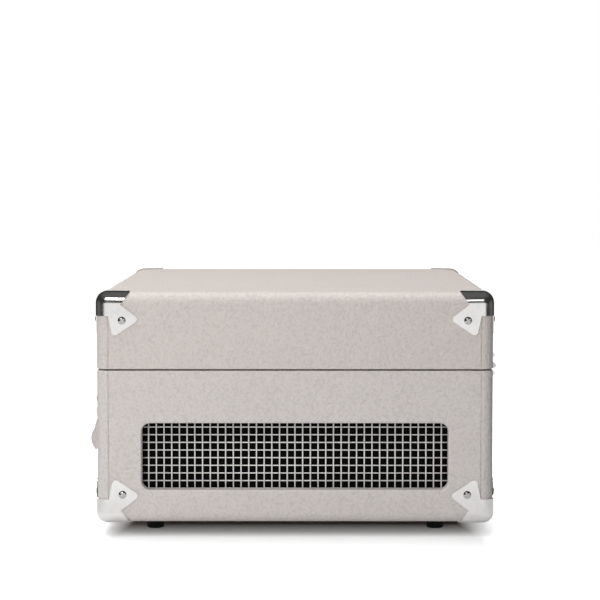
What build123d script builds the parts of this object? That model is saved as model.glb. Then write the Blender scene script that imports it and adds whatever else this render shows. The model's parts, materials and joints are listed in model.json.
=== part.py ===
from build123d import *
import math
import os

# Portable suitcase record player with a lid, closed and standing on its feet.
# Millimetres. +X is the right-hand end, -Y the front with the carry handle, +Z up.
# While the pieces are made, the origin is on the floor under the middle of the case.
# The export moves them all so that it lies under the middle of the whole outline.

# Case
case_length = 340.0
case_depth = 260.0
base_height = 100.0
lid_height = 50.4
seam_gap = 0.9
wall = 9.0
lid_top_board = 6.0
side_edge_radius = 7.0
base_edge_radius = 6.0
lid_edge_radius = 7.0
bottom_board = 6.0
board_clearance = 0.2
rim_edge_radius = 0.8
cover_seam_from_edge = 8.0
cover_seam_width = 0.7
cover_seam_depth = 0.6

# Feet
foot_height = 9.0
foot_top_radius = 6.3
foot_bottom_radius = 5.7
foot_edge_radius = 1.2
foot_from_end = 36.0
foot_from_front = 36.0
foot_recess_radius = 3.2
foot_recess_depth = 4.5

# Grille windows in the two end walls, and the wire mesh behind them
window_width = 201.0
window_height = 44.0
window_sill = 21.4
window_corner_radius = 5.5
window_lip_radius = 1.2
mesh_pitch = 5.08
mesh_wire = 1.0
mesh_thickness = 1.6
mesh_margin = 10.0
cloth_thickness = 0.6

# Corner pieces, as distances from the corner of the case along its edges
corner_block_size = 40.0
corner_skin = 0.8
corner_wrap = 8.0
corner_long_leg = 21.5
corner_cut_leg = 16.0
corner_short_leg = 15.4
tab_outer_tip = (28.7, 17.7)
tab_lower_tip = (11.0, 29.6)
tab_neck = (8.4, 16.9)
tab_tip_radius = 2.5
tab_screw = (17.0, 18.4)

# Screws
case_screw_head_radius = 2.6
case_screw_head_height = 1.5
case_screw_radius = 1.3
case_screw_length = 7.5
screw_hole_clearance = 0.05
small_screw_head_radius = 2.2
small_screw_head_height = 1.2
screw_cross_length = 0.78
screw_cross_width = 0.20
screw_cross_turn = 30.0

# Hinges on the back
hinge_from_end = 34.0
hinge_length = 36.0
hinge_axis_proud = 2.9
hinge_knuckle_radius = 1.75
hinge_pin_radius = 0.9
hinge_pin_clearance = 0.05
hinge_leaf_height = 10.5
hinge_leaf_thickness = 1.2
hinge_ridge_proud = 5.2
hinge_ridge_peak = 5.7
hinge_ridge_foot = 3.4
hinge_ridge_length = 18.0
hinge_knuckle_count = 5
hinge_knuckle_gap = 0.3

# Carry handle on the front
handle_span = 130.0
handle_pivot_height = 62.0
handle_pivot_proud = 4.6
handle_pin_radius = 1.5
handle_pin_clearance = 0.06
handle_eye_radius = 3.3
handle_arm_thickness = 6.0
handle_side_gap = 0.3
handle_bracket_width = 16.0
handle_bracket_top = 13.0
handle_bracket_proud = 8.8
handle_bracket_back = 1.0
handle_knuckle_radius = 5.5
handle_slot_top = 5.2
handle_screw_height = 8.8
handle_grip_inner = 9.2
handle_grip_outer = 13.8
handle_grip_low = 34.6
handle_grip_high = 51.2

# Front latch, its hasp hanging open
latch_plate_width = 24.0
latch_plate_height = 26.0
latch_plate_below_seam = 3.0
latch_plate_thickness = 1.0
hasp_pivot_below_seam = 11.0
hasp_pivot_proud = 4.2
hasp_pin_radius = 1.2
hasp_pin_clearance = 0.05
hasp_barrel_radius = 2.2
hasp_width = 14.0
hasp_length = 23.0
hasp_thickness = 1.2
hasp_plate_offset = 0.4
hasp_side_gap = 0.3
hasp_lip = 1.4
catch_above_pivot = 17.6
catch_stud_radius = 1.9
catch_stud_proud = 5.2
catch_tail_radius = 1.2
catch_tail_clearance = 0.05
catch_hole_clearance = 1.5
catch_plate_width = 20.0
catch_plate_height = 16.0

# Deck plate, battens and what stands on the deck
deck_below_rim = 4.0
deck_thickness = 3.0
deck_clearance = 0.5
batten_depth = 9.0
batten_height = 10.0
batten_length = 250.0
deck_screw_spacing = 110.0

# Platter and its drive
platter_radius = 94.0
platter_from_wall = 3.0
platter_top_above_deck = 8.0
platter_disc = 3.0
platter_skirt = 3.5
platter_skirt_drop = 3.2
drive_rim_radius = 61.0
drive_rim_width = 3.5
drive_rim_drop = 3.8
hub_radius = 10.0
hub_drop = 2.5
mat_thickness = 2.0
mat_radius = 92.0
mat_hole_clearance = 0.15
spindle_pin_radius = 3.6
spindle_pin_above_mat = 9.0
spindle_neck_radius = 3.3
spindle_neck_above_mat = 0.3
spindle_shaft_radius = 3.0
running_clearance = 0.05
bearing_radius = 8.0
bearing_flange_radius = 14.0
bearing_flange = 3.0
bearing_depth = 14.0
bearing_clearance = 0.1
motor_distance = 76.0
motor_direction = 135.0
motor_radius = 12.0
motor_height = 20.0
pulley_radius = 5.0
pulley_flange = 1.2
pulley_hole_clearance = 1.8
motor_shaft_radius = 1.0
belt_thickness = 1.0
belt_width = 2.4
belt_clearance = 0.3

# Tonearm, as placed when it lies in its rest
arm_pivot_from_end = 39.0
arm_pivot_from_back = 43.0
arm_front_from_wall = 14.0
arm_rest_angle = 6.0
stylus_past_spindle = 13.9
arm_axis_above_deck = 21.0
arm_tube_radius = 3.0
arm_base_radius = 16.0
arm_base_height = 6.0
turret_radius = 12.0
turret_foot = 3.0
turret_shaft_radius = 3.0
turret_cheek = 3.0
turret_cheek_depth = 16.0
arm_block_width = 14.0
arm_block_height = 10.0
arm_block_front = 9.0
arm_block_back = 12.0
arm_tube_socket = 6.0
arm_pin_radius = 1.5
arm_side_gap = 0.5
tail_radius = 9.0
tail_length = 14.0
shell_length = 36.0
shell_width = 18.0
shell_thickness = 3.0
shell_overhang = 10.0
arm_tube_in_shell = 3.0
cartridge_width = 15.0
cartridge_length = 24.0
cartridge_height = 5.2
stylus_drop = 1.2
arm_rest_distance = 86.5
rest_gap = 0.3
rest_beam = 3.0
rest_half_width = 3.5
stop_gap = 0.9
stop_thickness = 3.0
stop_height = 4.0
lifter_inner = 29.0
lifter_outer = 35.0
lifter_thickness = 1.6
lifter_gap = 0.4
lifter_sweep = 52.0
lifter_past_arm = 8.0
lifter_stem_radius = 2.0
cue_from_end = 12.0
cue_behind_pivot = 10.0
cue_lever_length = 26.0
cue_hub_radius = 3.4
cue_axle_radius = 1.5
cue_above_deck = 7.0

# Controls on the deck
knob_from_end = 15.0
knob_from_front = 17.0
knob_radius = 9.0
knob_height = 8.0
knob_flutes = 24
knob_gap = 0.6
knob_stem_radius = 3.0
pot_radius = 8.0
pot_depth = 10.0
pot_neck_radius = 4.5
pot_neck_clearance = 0.2
lamp_from_end = 13.0
lamp_from_front = 41.0
lamp_radius = 2.5
lamp_clearance = 0.05
switch_from_end = 10.0
speed_switch_before_pivot = 58.0
stop_switch_before_pivot = 36.0
slider_slot_width = 3.0
slider_slot_run = 3.0
slider_stem_width = 2.4
slider_travel_speed = 10.0
slider_travel_stop = 6.0
adapter_from_end = 23.0
adapter_from_back = 23.0
adapter_radius = 19.0
adapter_thickness = 4.0

# Speakers, one behind each grille
speaker_board_thickness = 5.0
speaker_board_from_wall = 3.0
speaker_board_below_deck = 11.0
speaker_hole_radius = 33.0
speaker_flange_radius = 36.0
speaker_frame_depth = 20.0
speaker_cone_radius = 26.5
speaker_surround_radius = 30.7
speaker_coil_radius = 8.0
speaker_magnet_radius = 18.0
speaker_magnet_depth = 14.0

# Connector panel on the back
panel_from_end = 110.0
panel_above_bottom = 43.0
panel_width = 108.0
panel_height = 46.0
panel_thickness = 1.5
panel_lap = 6.0
socket_depth = 16.0
rca_radius = 4.15
rca_neck_radius = 3.9
rca_neck_proud = 0.3
rca_proud = 8.0
rca_from_lap = 12.0
rca_spacing = 18.0
rca_bore_radius = 1.6
jack_after_rca = 19.0
jack_spacing = 16.0
jack_radius = 3.6
jack_proud = 2.5
jack_bore_radius = 1.8
dc_after_jack = 18.0
dc_radius = 4.6
dc_bore_radius = 2.75
dc_pin_radius = 1.05
dc_pin_recess = 3.5
circuit_board_thickness = 1.6
socket_hole_clearance = 0.05

# Levels and faces that the sizes above give
base_bottom = foot_height
rim_level = base_bottom + base_height
lid_bottom = rim_level + seam_gap
lid_top = lid_bottom + lid_height
end_face = case_length / 2
front_face = -case_depth / 2
back_face = case_depth / 2
inner_end = end_face - wall
inner_front = front_face + wall
inner_back = back_face - wall
hinge_level = rim_level + seam_gap / 2
hinge_axis_y = back_face + hinge_axis_proud
window_level = base_bottom + window_sill + window_height / 2
deck_top = rim_level - deck_below_rim
deck_under = deck_top - deck_thickness
floor_board_top = base_bottom + bottom_board
platter_top = deck_top + platter_top_above_deck
platter_under = platter_top - platter_disc
mat_top = platter_top + mat_thickness
arm_axis = deck_top + arm_axis_above_deck
handle_level = base_bottom + handle_pivot_height
handle_axis_y = front_face - handle_pivot_proud
hasp_level = rim_level - hasp_pivot_below_seam
hasp_axis_y = front_face - hasp_pivot_proud
panel_level = base_bottom + panel_above_bottom
panel_face = back_face + panel_thickness
panel_x = panel_from_end - end_face
speaker_board_half_width = inner_back - speaker_board_from_wall
speaker_board_top = deck_under - speaker_board_below_deck
arm_pivot_x = inner_end - arm_pivot_from_end
arm_pivot_y = inner_back - arm_pivot_from_back
arm_reach = (arm_pivot_y - inner_front - arm_front_from_wall) / math.cos(math.radians(arm_rest_angle))
arm_length = arm_reach - shell_overhang
spindle_y = inner_front + platter_radius + platter_from_wall
pivot_to_spindle = arm_length - stylus_past_spindle
spindle_x = arm_pivot_x - math.sqrt(pivot_to_spindle ** 2 - (arm_pivot_y - spindle_y) ** 2)
cue_x = inner_end - cue_from_end
cue_y = arm_pivot_y + cue_behind_pivot
knob_x = knob_from_end - inner_end
knob_y = inner_front + knob_from_front
lamp_x = lamp_from_end - inner_end
lamp_y = inner_front + lamp_from_front
switch_x = inner_end - switch_from_end
speed_switch_y = arm_pivot_y - speed_switch_before_pivot
stop_switch_y = arm_pivot_y - stop_switch_before_pivot
adapter_x = adapter_from_end - inner_end
adapter_y = inner_back - adapter_from_back
motor_x = spindle_x + motor_distance * math.cos(math.radians(motor_direction))
motor_y = spindle_y + motor_distance * math.sin(math.radians(motor_direction))
origin_shift_y = (handle_grip_outer - panel_thickness - rca_proud) / 2

LEFT = (-1, 0, 0)
RIGHT = (1, 0, 0)
FRONT = (0, -1, 0)
BACK = (0, 1, 0)
UP = (0, 0, 1)
DOWN = (0, 0, -1)
FROM_LOW_END = (Align.CENTER, Align.CENTER, Align.MIN)


# Shapes used again and again

def block(x, y, z):
    """A box between two values on each axis."""
    size = [abs(pair[1] - pair[0]) for pair in (x, y, z)]
    middle = [(pair[1] + pair[0]) / 2 for pair in (x, y, z)]
    return Pos(*middle) * Box(*size)


def rod(start, direction, radius, length):
    """A cylinder from a point, along a direction."""
    place = Plane(origin=start, z_dir=direction)
    return place * Cylinder(radius, length, align=FROM_LOW_END)


def turned(points):
    """A solid of revolution about Z, from points of radius and height."""
    outline = Polyline(*points, close=True)
    return revolve(make_face(Plane.XZ * outline), Axis.Z, 360)


def rounded_slab(width, height, radius, thickness):
    """A slab with rounded corners, its low face on the XY plane."""
    return extrude(RectangleRounded(width, height, radius), thickness)


def on_back(x, z):
    """The place on the back face where local Z points away from the case."""
    return Plane(origin=(x, back_face, z), x_dir=(-1, 0, 0), z_dir=BACK)


def pan_screw(point, direction, length, head_radius, head_height):
    """A cross-head screw with its head on the point; its cross is in shares of the head's width."""
    skirt = head_height * 0.3
    crown = head_height - skirt
    ball = (head_radius ** 2 + crown ** 2) / (2 * crown)
    head = Cylinder(head_radius, head_height, align=FROM_LOW_END)
    head = head & Pos(0, 0, head_height - ball) * Sphere(ball)
    width = 2 * head_radius
    slot = Pos(0, 0, head_height) * Box(width * screw_cross_length, width * screw_cross_width, head_height)
    for turn in (screw_cross_turn, screw_cross_turn + 90):
        head = head - Rot(0, 0, turn) * slot
    shank = Pos(0, 0, -length) * Cylinder(case_screw_radius, length, align=FROM_LOW_END)
    return Plane(origin=point, z_dir=direction) * (head + shank)


def case_screw(point, direction):
    return pan_screw(point, direction, case_screw_length, case_screw_head_radius, case_screw_head_height)


def small_screw(point, direction):
    return pan_screw(point, direction, case_screw_length, small_screw_head_radius, small_screw_head_height)


def screw_hole(point, direction, depth=case_screw_length + 0.5, beyond=8.0):
    """The hole for a screw, from a little in front of its head to its tip."""
    radius = case_screw_radius + screw_hole_clearance
    start = tuple(p + d * beyond for p, d in zip(point, direction))
    back = tuple(-d for d in direction)
    return rod(start, back, radius, depth + beyond)


def ends():
    """The right-hand end and the left-hand end."""
    return (1, -1)


# Case shells

def shell_block(z_low, z_high, round_top, edge_radius):
    """The outside of the base or the lid, rounded at the closed side."""
    body = block((-end_face, end_face), (front_face, back_face), (z_low, z_high))
    body = fillet(body.edges().filter_by(Axis.Z), side_edge_radius)
    faces = body.faces().sort_by(Axis.Z)
    closed_face = faces[-1] if round_top else faces[0]
    return fillet(closed_face.edges(), edge_radius)


def cover_seams(z_low, z_high):
    """The thin grooves where the covering of the walls ends on the end faces."""
    grooves = []
    half = cover_seam_width / 2
    for end in ends():
        x = (end * (end_face - cover_seam_depth), end * (end_face + 1))
        for side in (-1, 1):
            y = side * (back_face - cover_seam_from_edge)
            grooves.append(block(x, (y - half, y + half), (z_low, z_high)))
    return grooves


def window_cutter(end):
    """The grille window through one end wall, a little longer than the wall."""
    face = RectangleRounded(window_width, window_height, window_corner_radius)
    place = Plane(origin=(end * (end_face + 1), 0, window_level), x_dir=BACK, z_dir=(-end, 0, 0))
    return extrude(place * face, wall + 2)


def panel_opening():
    """The hole in the back wall behind the connector panel."""
    half_width = panel_width / 2 - panel_lap
    half_height = panel_height / 2 - panel_lap
    x = (panel_x - half_width, panel_x + half_width)
    z = (panel_level - half_height, panel_level + half_height)
    return block(x, (inner_back - 1, back_face + 1), z)


def is_window_edge(edge):
    """Whether an edge is on the outline of a grille window."""
    middle = edge.center()
    on_end_face = abs(abs(middle.X) - end_face) < 0.01
    inside_width = abs(middle.Y) < window_width / 2 + 0.1
    inside_height = abs(middle.Z - window_level) < window_height / 2 + 0.1
    return on_end_face and inside_width and inside_height


def make_base_case():
    body = shell_block(base_bottom, rim_level, False, base_edge_radius)
    hollow = block((-inner_end, inner_end), (inner_front, inner_back), (base_bottom - 1, rim_level + 1))
    body = body - hollow
    rim_edges = body.edges().filter_by_position(Axis.Z, rim_level - 0.01, rim_level + 0.01)
    body = fillet(rim_edges, rim_edge_radius)
    for end in ends():
        body = body - window_cutter(end)
    body = fillet([edge for edge in body.edges() if is_window_edge(edge)], window_lip_radius)
    body = body - panel_opening() - cover_seams(base_bottom + base_edge_radius, rim_level + 1)
    for point, direction in base_screw_places():
        body = body - screw_hole(point, direction)
    return body


def make_lid_case():
    body = shell_block(lid_bottom, lid_top, True, lid_edge_radius)
    ceiling = lid_top - lid_top_board
    hollow = block((-inner_end, inner_end), (inner_front, inner_back), (lid_bottom - 1, ceiling))
    body = body - hollow
    rim_edges = body.edges().filter_by_position(Axis.Z, lid_bottom - 0.01, lid_bottom + 0.01)
    body = fillet(rim_edges, rim_edge_radius) - cover_seams(lid_bottom - 1, lid_top - lid_edge_radius)
    for point, direction in lid_screw_places():
        body = body - screw_hole(point, direction)
    return body


def make_lid_lining():
    """The cloth-covered board inside the top of the lid."""
    ceiling = lid_top - lid_top_board
    half_length = inner_end - board_clearance
    half_depth = inner_back - board_clearance
    return block((-half_length, half_length), (-half_depth, half_depth), (ceiling - 2.0, ceiling))


def make_bottom_panel():
    half_length = inner_end - board_clearance
    half_depth = inner_back - board_clearance
    panel = block((-half_length, half_length), (-half_depth, half_depth), (base_bottom, floor_board_top))
    for point, direction in bottom_screw_places() + foot_screw_places():
        panel = panel - screw_hole(point, direction, foot_height + case_screw_length)
    return panel


def make_battens():
    """Wooden strips inside the front and back walls, for the deck and the bottom board."""
    strips = []
    x = (-batten_length / 2, batten_length / 2)
    for y in ((inner_front, inner_front + batten_depth), (inner_back - batten_depth, inner_back)):
        upper = block(x, y, (deck_under - batten_height, deck_under))
        lower = block(x, y, (floor_board_top, floor_board_top + batten_height))
        for point, direction in deck_screw_places():
            upper = upper - screw_hole(point, direction)
        for point, direction in bottom_screw_places():
            lower = lower - screw_hole(point, direction, case_screw_length + 3)
        strips += [upper, lower]
    return strips


# Feet

def foot_places():
    x = end_face - foot_from_end
    y = back_face - foot_from_front
    return [(sx * x, sy * y) for sx in (-1, 1) for sy in (-1, 1)]


def make_feet():
    foot = Cone(foot_bottom_radius, foot_top_radius, foot_height, align=FROM_LOW_END)
    foot = fillet(foot.edges().sort_by(Axis.Z)[0], foot_edge_radius)
    recess = Cylinder(foot_recess_radius, foot_recess_depth, align=FROM_LOW_END)
    hole = Cylinder(case_screw_radius + screw_hole_clearance, foot_height, align=FROM_LOW_END)
    foot = foot - recess - hole
    return [Pos(x, y, 0) * foot for x, y in foot_places()]


def foot_screw_places():
    return [((x, y, foot_recess_depth), DOWN) for x, y in foot_places()]


def bottom_screw_places():
    places = []
    for x in (-deck_screw_spacing, 0, deck_screw_spacing):
        for y in (inner_front + batten_depth / 2, inner_back - batten_depth / 2):
            places.append(((x, y, base_bottom), DOWN))
    return places


# Corner pieces

def corner_block(grow, edge_radius):
    """One corner of the case, its faces on the three planes, grown by a skin."""
    size = corner_block_size
    body = block((-grow, size), (-grow, size), (-grow, size))
    upright = [e for e in body.edges().filter_by(Axis.Z) if e.center().X < 0.1 and e.center().Y < 0.1]
    body = fillet(upright, side_edge_radius + grow)
    cap_face = body.faces().sort_by(Axis.Z)[0]
    cap_edges = [e for e in cap_face.edges() if e.center().X < size - 0.1 and e.center().Y < size - 0.1]
    return fillet(cap_edges, edge_radius + grow)


def tab_outline():
    """The outline of the piece on an upright face: a bent leg and a tab with two tips."""
    over = 2.0
    slant = (corner_long_leg - corner_cut_leg) / corner_wrap
    points = [
        (-over, -over),
        (corner_long_leg + slant * over, -over),
        (corner_cut_leg, corner_wrap),
        tab_outer_tip,
        tab_lower_tip,
        tab_neck,
        (corner_wrap, corner_short_leg),
        (-over, corner_short_leg),
    ]
    face = make_face(Polyline(*points, close=True))
    tips = [v for v in face.vertices() if is_at(v, tab_outer_tip) or is_at(v, tab_lower_tip)]
    return fillet(tips, tab_tip_radius)


def is_at(vertex, point):
    return abs(vertex.X - point[0]) < 0.01 and abs(vertex.Y - point[1]) < 0.01


def cap_outline():
    """The outline of the piece on the level face: square leg ends and a slanted inner edge."""
    over = 2.0
    slant = (corner_long_leg - corner_cut_leg) / corner_wrap
    reach = corner_long_leg + slant * corner_skin
    points = [
        (-over, -over),
        (reach, -over),
        (reach, corner_wrap),
        (corner_wrap, reach),
        (-over, reach),
    ]
    return make_face(Polyline(*points, close=True))


def corner_piece(edge_radius):
    """A corner piece whose case corner is at the origin, with the case on the positive side."""
    over = 2.0
    piece = corner_block(corner_skin, edge_radius) - corner_block(0, edge_radius)
    depth = corner_wrap + over
    near = (-over, corner_wrap)
    wide = (-over, corner_block_size + 1)
    end_plane = Plane(origin=(-over, 0, 0), x_dir=(0, 1, 0), z_dir=(1, 0, 0))
    side_plane = Plane(origin=(0, corner_wrap, 0), x_dir=(1, 0, 0), z_dir=(0, -1, 0))
    cap_plane = Plane(origin=(0, 0, -over))
    piece = piece - (block(near, wide, wide) - extrude(end_plane * tab_outline(), depth))
    piece = piece - (block(wide, near, wide) - extrude(side_plane * tab_outline(), depth))
    piece = piece - (block(wide, wide, near) - extrude(cap_plane * cap_outline(), depth))
    along, down = tab_screw
    for point, direction in (((0, along, down), (-1, 0, 0)), ((along, 0, down), (0, -1, 0))):
        piece = piece - screw_hole(point, direction, 2.0)
    return piece


def placed_corner(piece, side_x, side_y, level, upper):
    """The corner piece moved to one corner of the case."""
    if side_x > 0:
        piece = mirror(piece, Plane.YZ)
    if side_y > 0:
        piece = mirror(piece, Plane.XZ)
    if upper:
        piece = mirror(piece, Plane.XY)
    return Pos(side_x * end_face, side_y * back_face, level) * piece


def corner_set(level, upper, edge_radius):
    piece = corner_piece(edge_radius)
    return [placed_corner(piece, sx, sy, level, upper) for sx in (-1, 1) for sy in (-1, 1)]


def corner_screw_places(level, inward):
    """Where the tabs are screwed on: two screws for each corner, heads on the tabs."""
    along, down = tab_screw
    z = level + inward * down
    places = []
    for sx in (-1, 1):
        for sy in (-1, 1):
            end_point = (sx * (end_face + corner_skin), sy * (back_face - along), z)
            side_point = (sx * (end_face - along), sy * (back_face + corner_skin), z)
            places.append((end_point, (sx, 0, 0)))
            places.append((side_point, (0, sy, 0)))
    return places


# Hinges

def hinge_centres():
    x = end_face - hinge_from_end - hinge_length / 2
    return (-x, x)


def hinge_screw_offsets():
    """How far the two screws of a leaf are from its middle, and from the hinge axis."""
    across = (hinge_length + hinge_ridge_length) / 4
    along = (hinge_leaf_height + hinge_ridge_foot) / 2
    return across, along


def hinge_leaf(side):
    """One leaf about the hinge axis on X, side 1 above the axis and -1 below it."""
    half = hinge_length / 2
    pitch = hinge_length / hinge_knuckle_count
    back = -hinge_axis_proud
    face = back + hinge_leaf_thickness
    leaf_foot = hinge_knuckle_radius + 0.4
    plate = block((-half, half), (back, face), (side * leaf_foot, side * hinge_leaf_height))
    peak = hinge_ridge_proud - hinge_axis_proud
    profile = [
        (back, side * hinge_leaf_height),
        (peak, side * (hinge_ridge_peak + 0.8)),
        (peak, side * hinge_ridge_peak),
        (face, side * hinge_ridge_foot),
        (back, side * hinge_ridge_foot),
    ]
    ridge_face = make_face(Plane.YZ * Polyline(*profile, close=True))
    ridge_half = hinge_ridge_length / 2
    leaf = plate + Pos(-ridge_half, 0, 0) * extrude(ridge_face, hinge_ridge_length, dir=RIGHT)
    for place in range(hinge_knuckle_count):
        is_base_knuckle = place % 2 == 0
        if is_base_knuckle != (side < 0):
            continue
        low = -half + place * pitch + hinge_knuckle_gap / 2
        high = low + pitch - hinge_knuckle_gap
        leaf = leaf + block((low, high), (back, 0), (side * 0.2, side * leaf_foot))
        leaf = leaf + rod((low, 0, 0), RIGHT, hinge_knuckle_radius, high - low)
    bore = rod((-half - 1, 0, 0), RIGHT, hinge_pin_radius + hinge_pin_clearance, hinge_length + 2)
    leaf = leaf - bore
    across, along = hinge_screw_offsets()
    for sx in (-1, 1):
        leaf = leaf - screw_hole((sx * across, face, side * along), BACK)
    return leaf


def make_hinge_leaves(side):
    leaf = hinge_leaf(side)
    return [Pos(x, hinge_axis_y, hinge_level) * leaf for x in hinge_centres()]


def make_hinge_pins():
    half = hinge_length / 2
    pins = []
    for x in hinge_centres():
        pin = rod((x - half, hinge_axis_y, hinge_level), RIGHT, hinge_pin_radius, hinge_length)
        head = rod((x + half, hinge_axis_y, hinge_level), RIGHT, hinge_knuckle_radius * 0.8, 0.8)
        pins.append(pin + head)
    return pins


def hinge_screw_places(side):
    across, along = hinge_screw_offsets()
    z = hinge_level + side * along
    y = back_face + hinge_leaf_thickness
    return [((x + sx * across, y, z), BACK) for x in hinge_centres() for sx in (-1, 1)]


# Carry handle

def handle_bracket(x):
    """A metal end on the front: a pillar with a slot, and a pin across the slot."""
    half = handle_bracket_width / 2
    outer = front_face - handle_bracket_proud
    width = (x - half, x + half)
    pillar = block(width, (outer, front_face), (handle_level, handle_level + handle_bracket_top))
    top_edges = pillar.edges().filter_by(Axis.X).sort_by(Axis.Z)[-2:]
    pillar = fillet(top_edges.sort_by(Axis.Y)[0], 3.0)
    knuckle = rod((x - half, handle_axis_y, handle_level), RIGHT, handle_knuckle_radius, 2 * half)
    low = handle_level - handle_knuckle_radius
    back = block(width, (handle_axis_y, front_face), (low, handle_level))
    knuckle = knuckle & block(width, (front_face - 20, front_face), (low - 1, handle_level + 20))
    slot_half = handle_arm_thickness / 2 + handle_side_gap
    slot_y = (front_face - 20, front_face - handle_bracket_back)
    slot = block((x - slot_half, x + slot_half), slot_y, (low - 1, handle_level + handle_slot_top))
    pin = rod((x - half, handle_axis_y, handle_level), RIGHT, handle_pin_radius, 2 * half)
    body = pillar + knuckle + back - slot + pin
    screw_point = (x, outer, handle_level + handle_screw_height)
    return body - screw_hole(screw_point, FRONT, 30.0)


def make_handle_brackets():
    return [handle_bracket(side * handle_span / 2) for side in (-1, 1)]


def handle_screw_places(y):
    """The screw of each bracket, where it meets a face at this value of Y."""
    z = handle_level + handle_screw_height
    return [((side * handle_span / 2, y, z), FRONT) for side in (-1, 1)]


def grip_profile():
    """The grip's section, in Y and Z: flat on the inside, rounded on the outside."""
    low = base_bottom + handle_grip_low
    high = base_bottom + handle_grip_high
    inner = front_face - handle_grip_inner
    outer = front_face - handle_grip_outer
    edge = inner - 1.2
    outside = ThreePointArc((edge, high), (outer, (low + high) / 2), (edge, low))
    inside = Polyline((edge, low), (inner, low + 1.2), (inner, high - 1.2), (edge, high))
    return make_face(Plane.YZ * (outside + inside))


def handle_arm_profile():
    """The section of an end arm about the pin, in Y and Z, from the eye into the grip."""
    grip_middle = handle_grip_inner - handle_pivot_proud + 1.8
    grip_top = handle_pivot_height - handle_grip_high
    points = [
        (2.3, -2.3),
        (-2.3, 2.3),
        (-handle_eye_radius, 0.0),
        (-4.5, -4.2),
        (-grip_middle, 1.2 - grip_top),
        (-grip_middle, -grip_top - 3.0),
        (1.2 - grip_middle, -grip_top - 3.0),
        (2.4 - grip_middle, -grip_top),
        (-0.5, -5.5),
    ]
    face = make_face(Plane.YZ * Polyline(*points, close=True))
    return Pos(0, handle_axis_y, handle_level) * face


def make_carry_handle():
    """The grip with its two arms, each ending in an eye round a bracket's pin."""
    reach = handle_span / 2 + handle_arm_thickness / 2
    handle = Pos(-reach, 0, 0) * extrude(grip_profile(), 2 * reach, dir=RIGHT)
    for start in (-reach, reach - handle_arm_thickness):
        arm = Pos(start, 0, 0) * extrude(handle_arm_profile(), handle_arm_thickness, dir=RIGHT)
        eye = rod((start, handle_axis_y, handle_level), RIGHT, handle_eye_radius, handle_arm_thickness)
        handle = handle + arm + eye
    bore_radius = handle_pin_radius + handle_pin_clearance
    bore = rod((-reach - 1, handle_axis_y, handle_level), RIGHT, bore_radius, 2 * reach + 2)
    return handle - bore


# Front latch

def make_latch_plate():
    """The plate under the seam, with two ears and the hasp's pin."""
    high = rim_level - latch_plate_below_seam
    centre_z = high - latch_plate_height / 2
    plate = rounded_slab(latch_plate_width, latch_plate_height, 2.5, latch_plate_thickness)
    plate = Plane(origin=(0, front_face, centre_z), x_dir=RIGHT, z_dir=FRONT) * plate
    ear_inner = hasp_width / 2 + hasp_side_gap
    ear_outer = latch_plate_width / 2 - 1.0
    body = plate
    for side in (-1, 1):
        x = (side * ear_inner, side * ear_outer)
        low = hasp_level - hasp_barrel_radius
        high_ear = hasp_level + hasp_barrel_radius
        ear = block(x, (hasp_axis_y, front_face), (low, high_ear))
        ear_start = (min(x), hasp_axis_y, hasp_level)
        body = body + ear + rod(ear_start, RIGHT, hasp_barrel_radius, ear_outer - ear_inner)
    pin = rod((-ear_outer, hasp_axis_y, hasp_level), RIGHT, hasp_pin_radius, 2 * ear_outer)
    body = body + pin
    for point, direction in latch_screw_places():
        body = body - screw_hole(point, direction)
    return body


def latch_screw_places():
    y = front_face - latch_plate_thickness
    z = rim_level - latch_plate_below_seam - latch_plate_height + 5.0
    x = latch_plate_width / 2 - 3.6
    return [((-x, y, z), FRONT), ((x, y, z), FRONT)]


def make_latch_hasp():
    """The hasp, hanging from its pin, with the hole that goes over the stud."""
    half = hasp_width / 2
    outer = hasp_axis_y - hasp_plate_offset - hasp_thickness
    inner = hasp_axis_y - hasp_plate_offset
    barrel = rod((-half, hasp_axis_y, hasp_level), RIGHT, hasp_barrel_radius, hasp_width)
    leaf = block((-half, half), (outer, inner), (hasp_level - hasp_length, hasp_level))
    corners = leaf.edges().filter_by(Axis.Y).sort_by(Axis.Z)[0:2]
    leaf = fillet(corners, 4.0)
    body = barrel + leaf
    low = hasp_level - hasp_length
    lip = block((-half + 4, half - 4), (inner, inner + hasp_lip), (low, low + 1.2))
    body = body + lip
    pin_hole_radius = hasp_pin_radius + hasp_pin_clearance
    body = body - rod((-half - 1, hasp_axis_y, hasp_level), RIGHT, pin_hole_radius, hasp_width + 2)
    stud_hole_radius = catch_stud_radius + catch_hole_clearance
    hole_point = (0, hasp_axis_y - 6, hasp_level - catch_above_pivot)
    return body - rod(hole_point, BACK, stud_hole_radius, 12)


def make_latch_catch():
    """The plate on the lid that carries the stud."""
    plate = rounded_slab(catch_plate_width, catch_plate_height, 2.5, latch_plate_thickness)
    plate_level = catch_stud_level() + 2.0
    plate = Plane(origin=(0, front_face, plate_level), x_dir=RIGHT, z_dir=FRONT) * plate
    hole_start = (0, front_face + 1, catch_stud_level())
    body = plate - rod(hole_start, FRONT, catch_tail_radius + catch_tail_clearance, latch_plate_thickness + 2)
    for point, direction in catch_screw_places():
        body = body - screw_hole(point, direction)
    return body


def catch_stud_level():
    return hasp_level + catch_above_pivot


def make_catch_stud():
    """The stud that the hasp goes over, with its tail through the catch plate."""
    foot = (0, front_face - latch_plate_thickness, catch_stud_level())
    stud = rod(foot, FRONT, catch_stud_radius, catch_stud_proud - latch_plate_thickness)
    stud = fillet(stud.edges().sort_by(Axis.Y)[0], 0.8)
    return stud + rod(foot, BACK, catch_tail_radius, latch_plate_thickness)


def catch_screw_places():
    x = catch_plate_width / 2 - 3.2
    y = front_face - latch_plate_thickness
    z = hasp_level + catch_above_pivot + 5.5
    return [((-x, y, z), FRONT), ((x, y, z), FRONT)]


# Screws of the outside fittings

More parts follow.
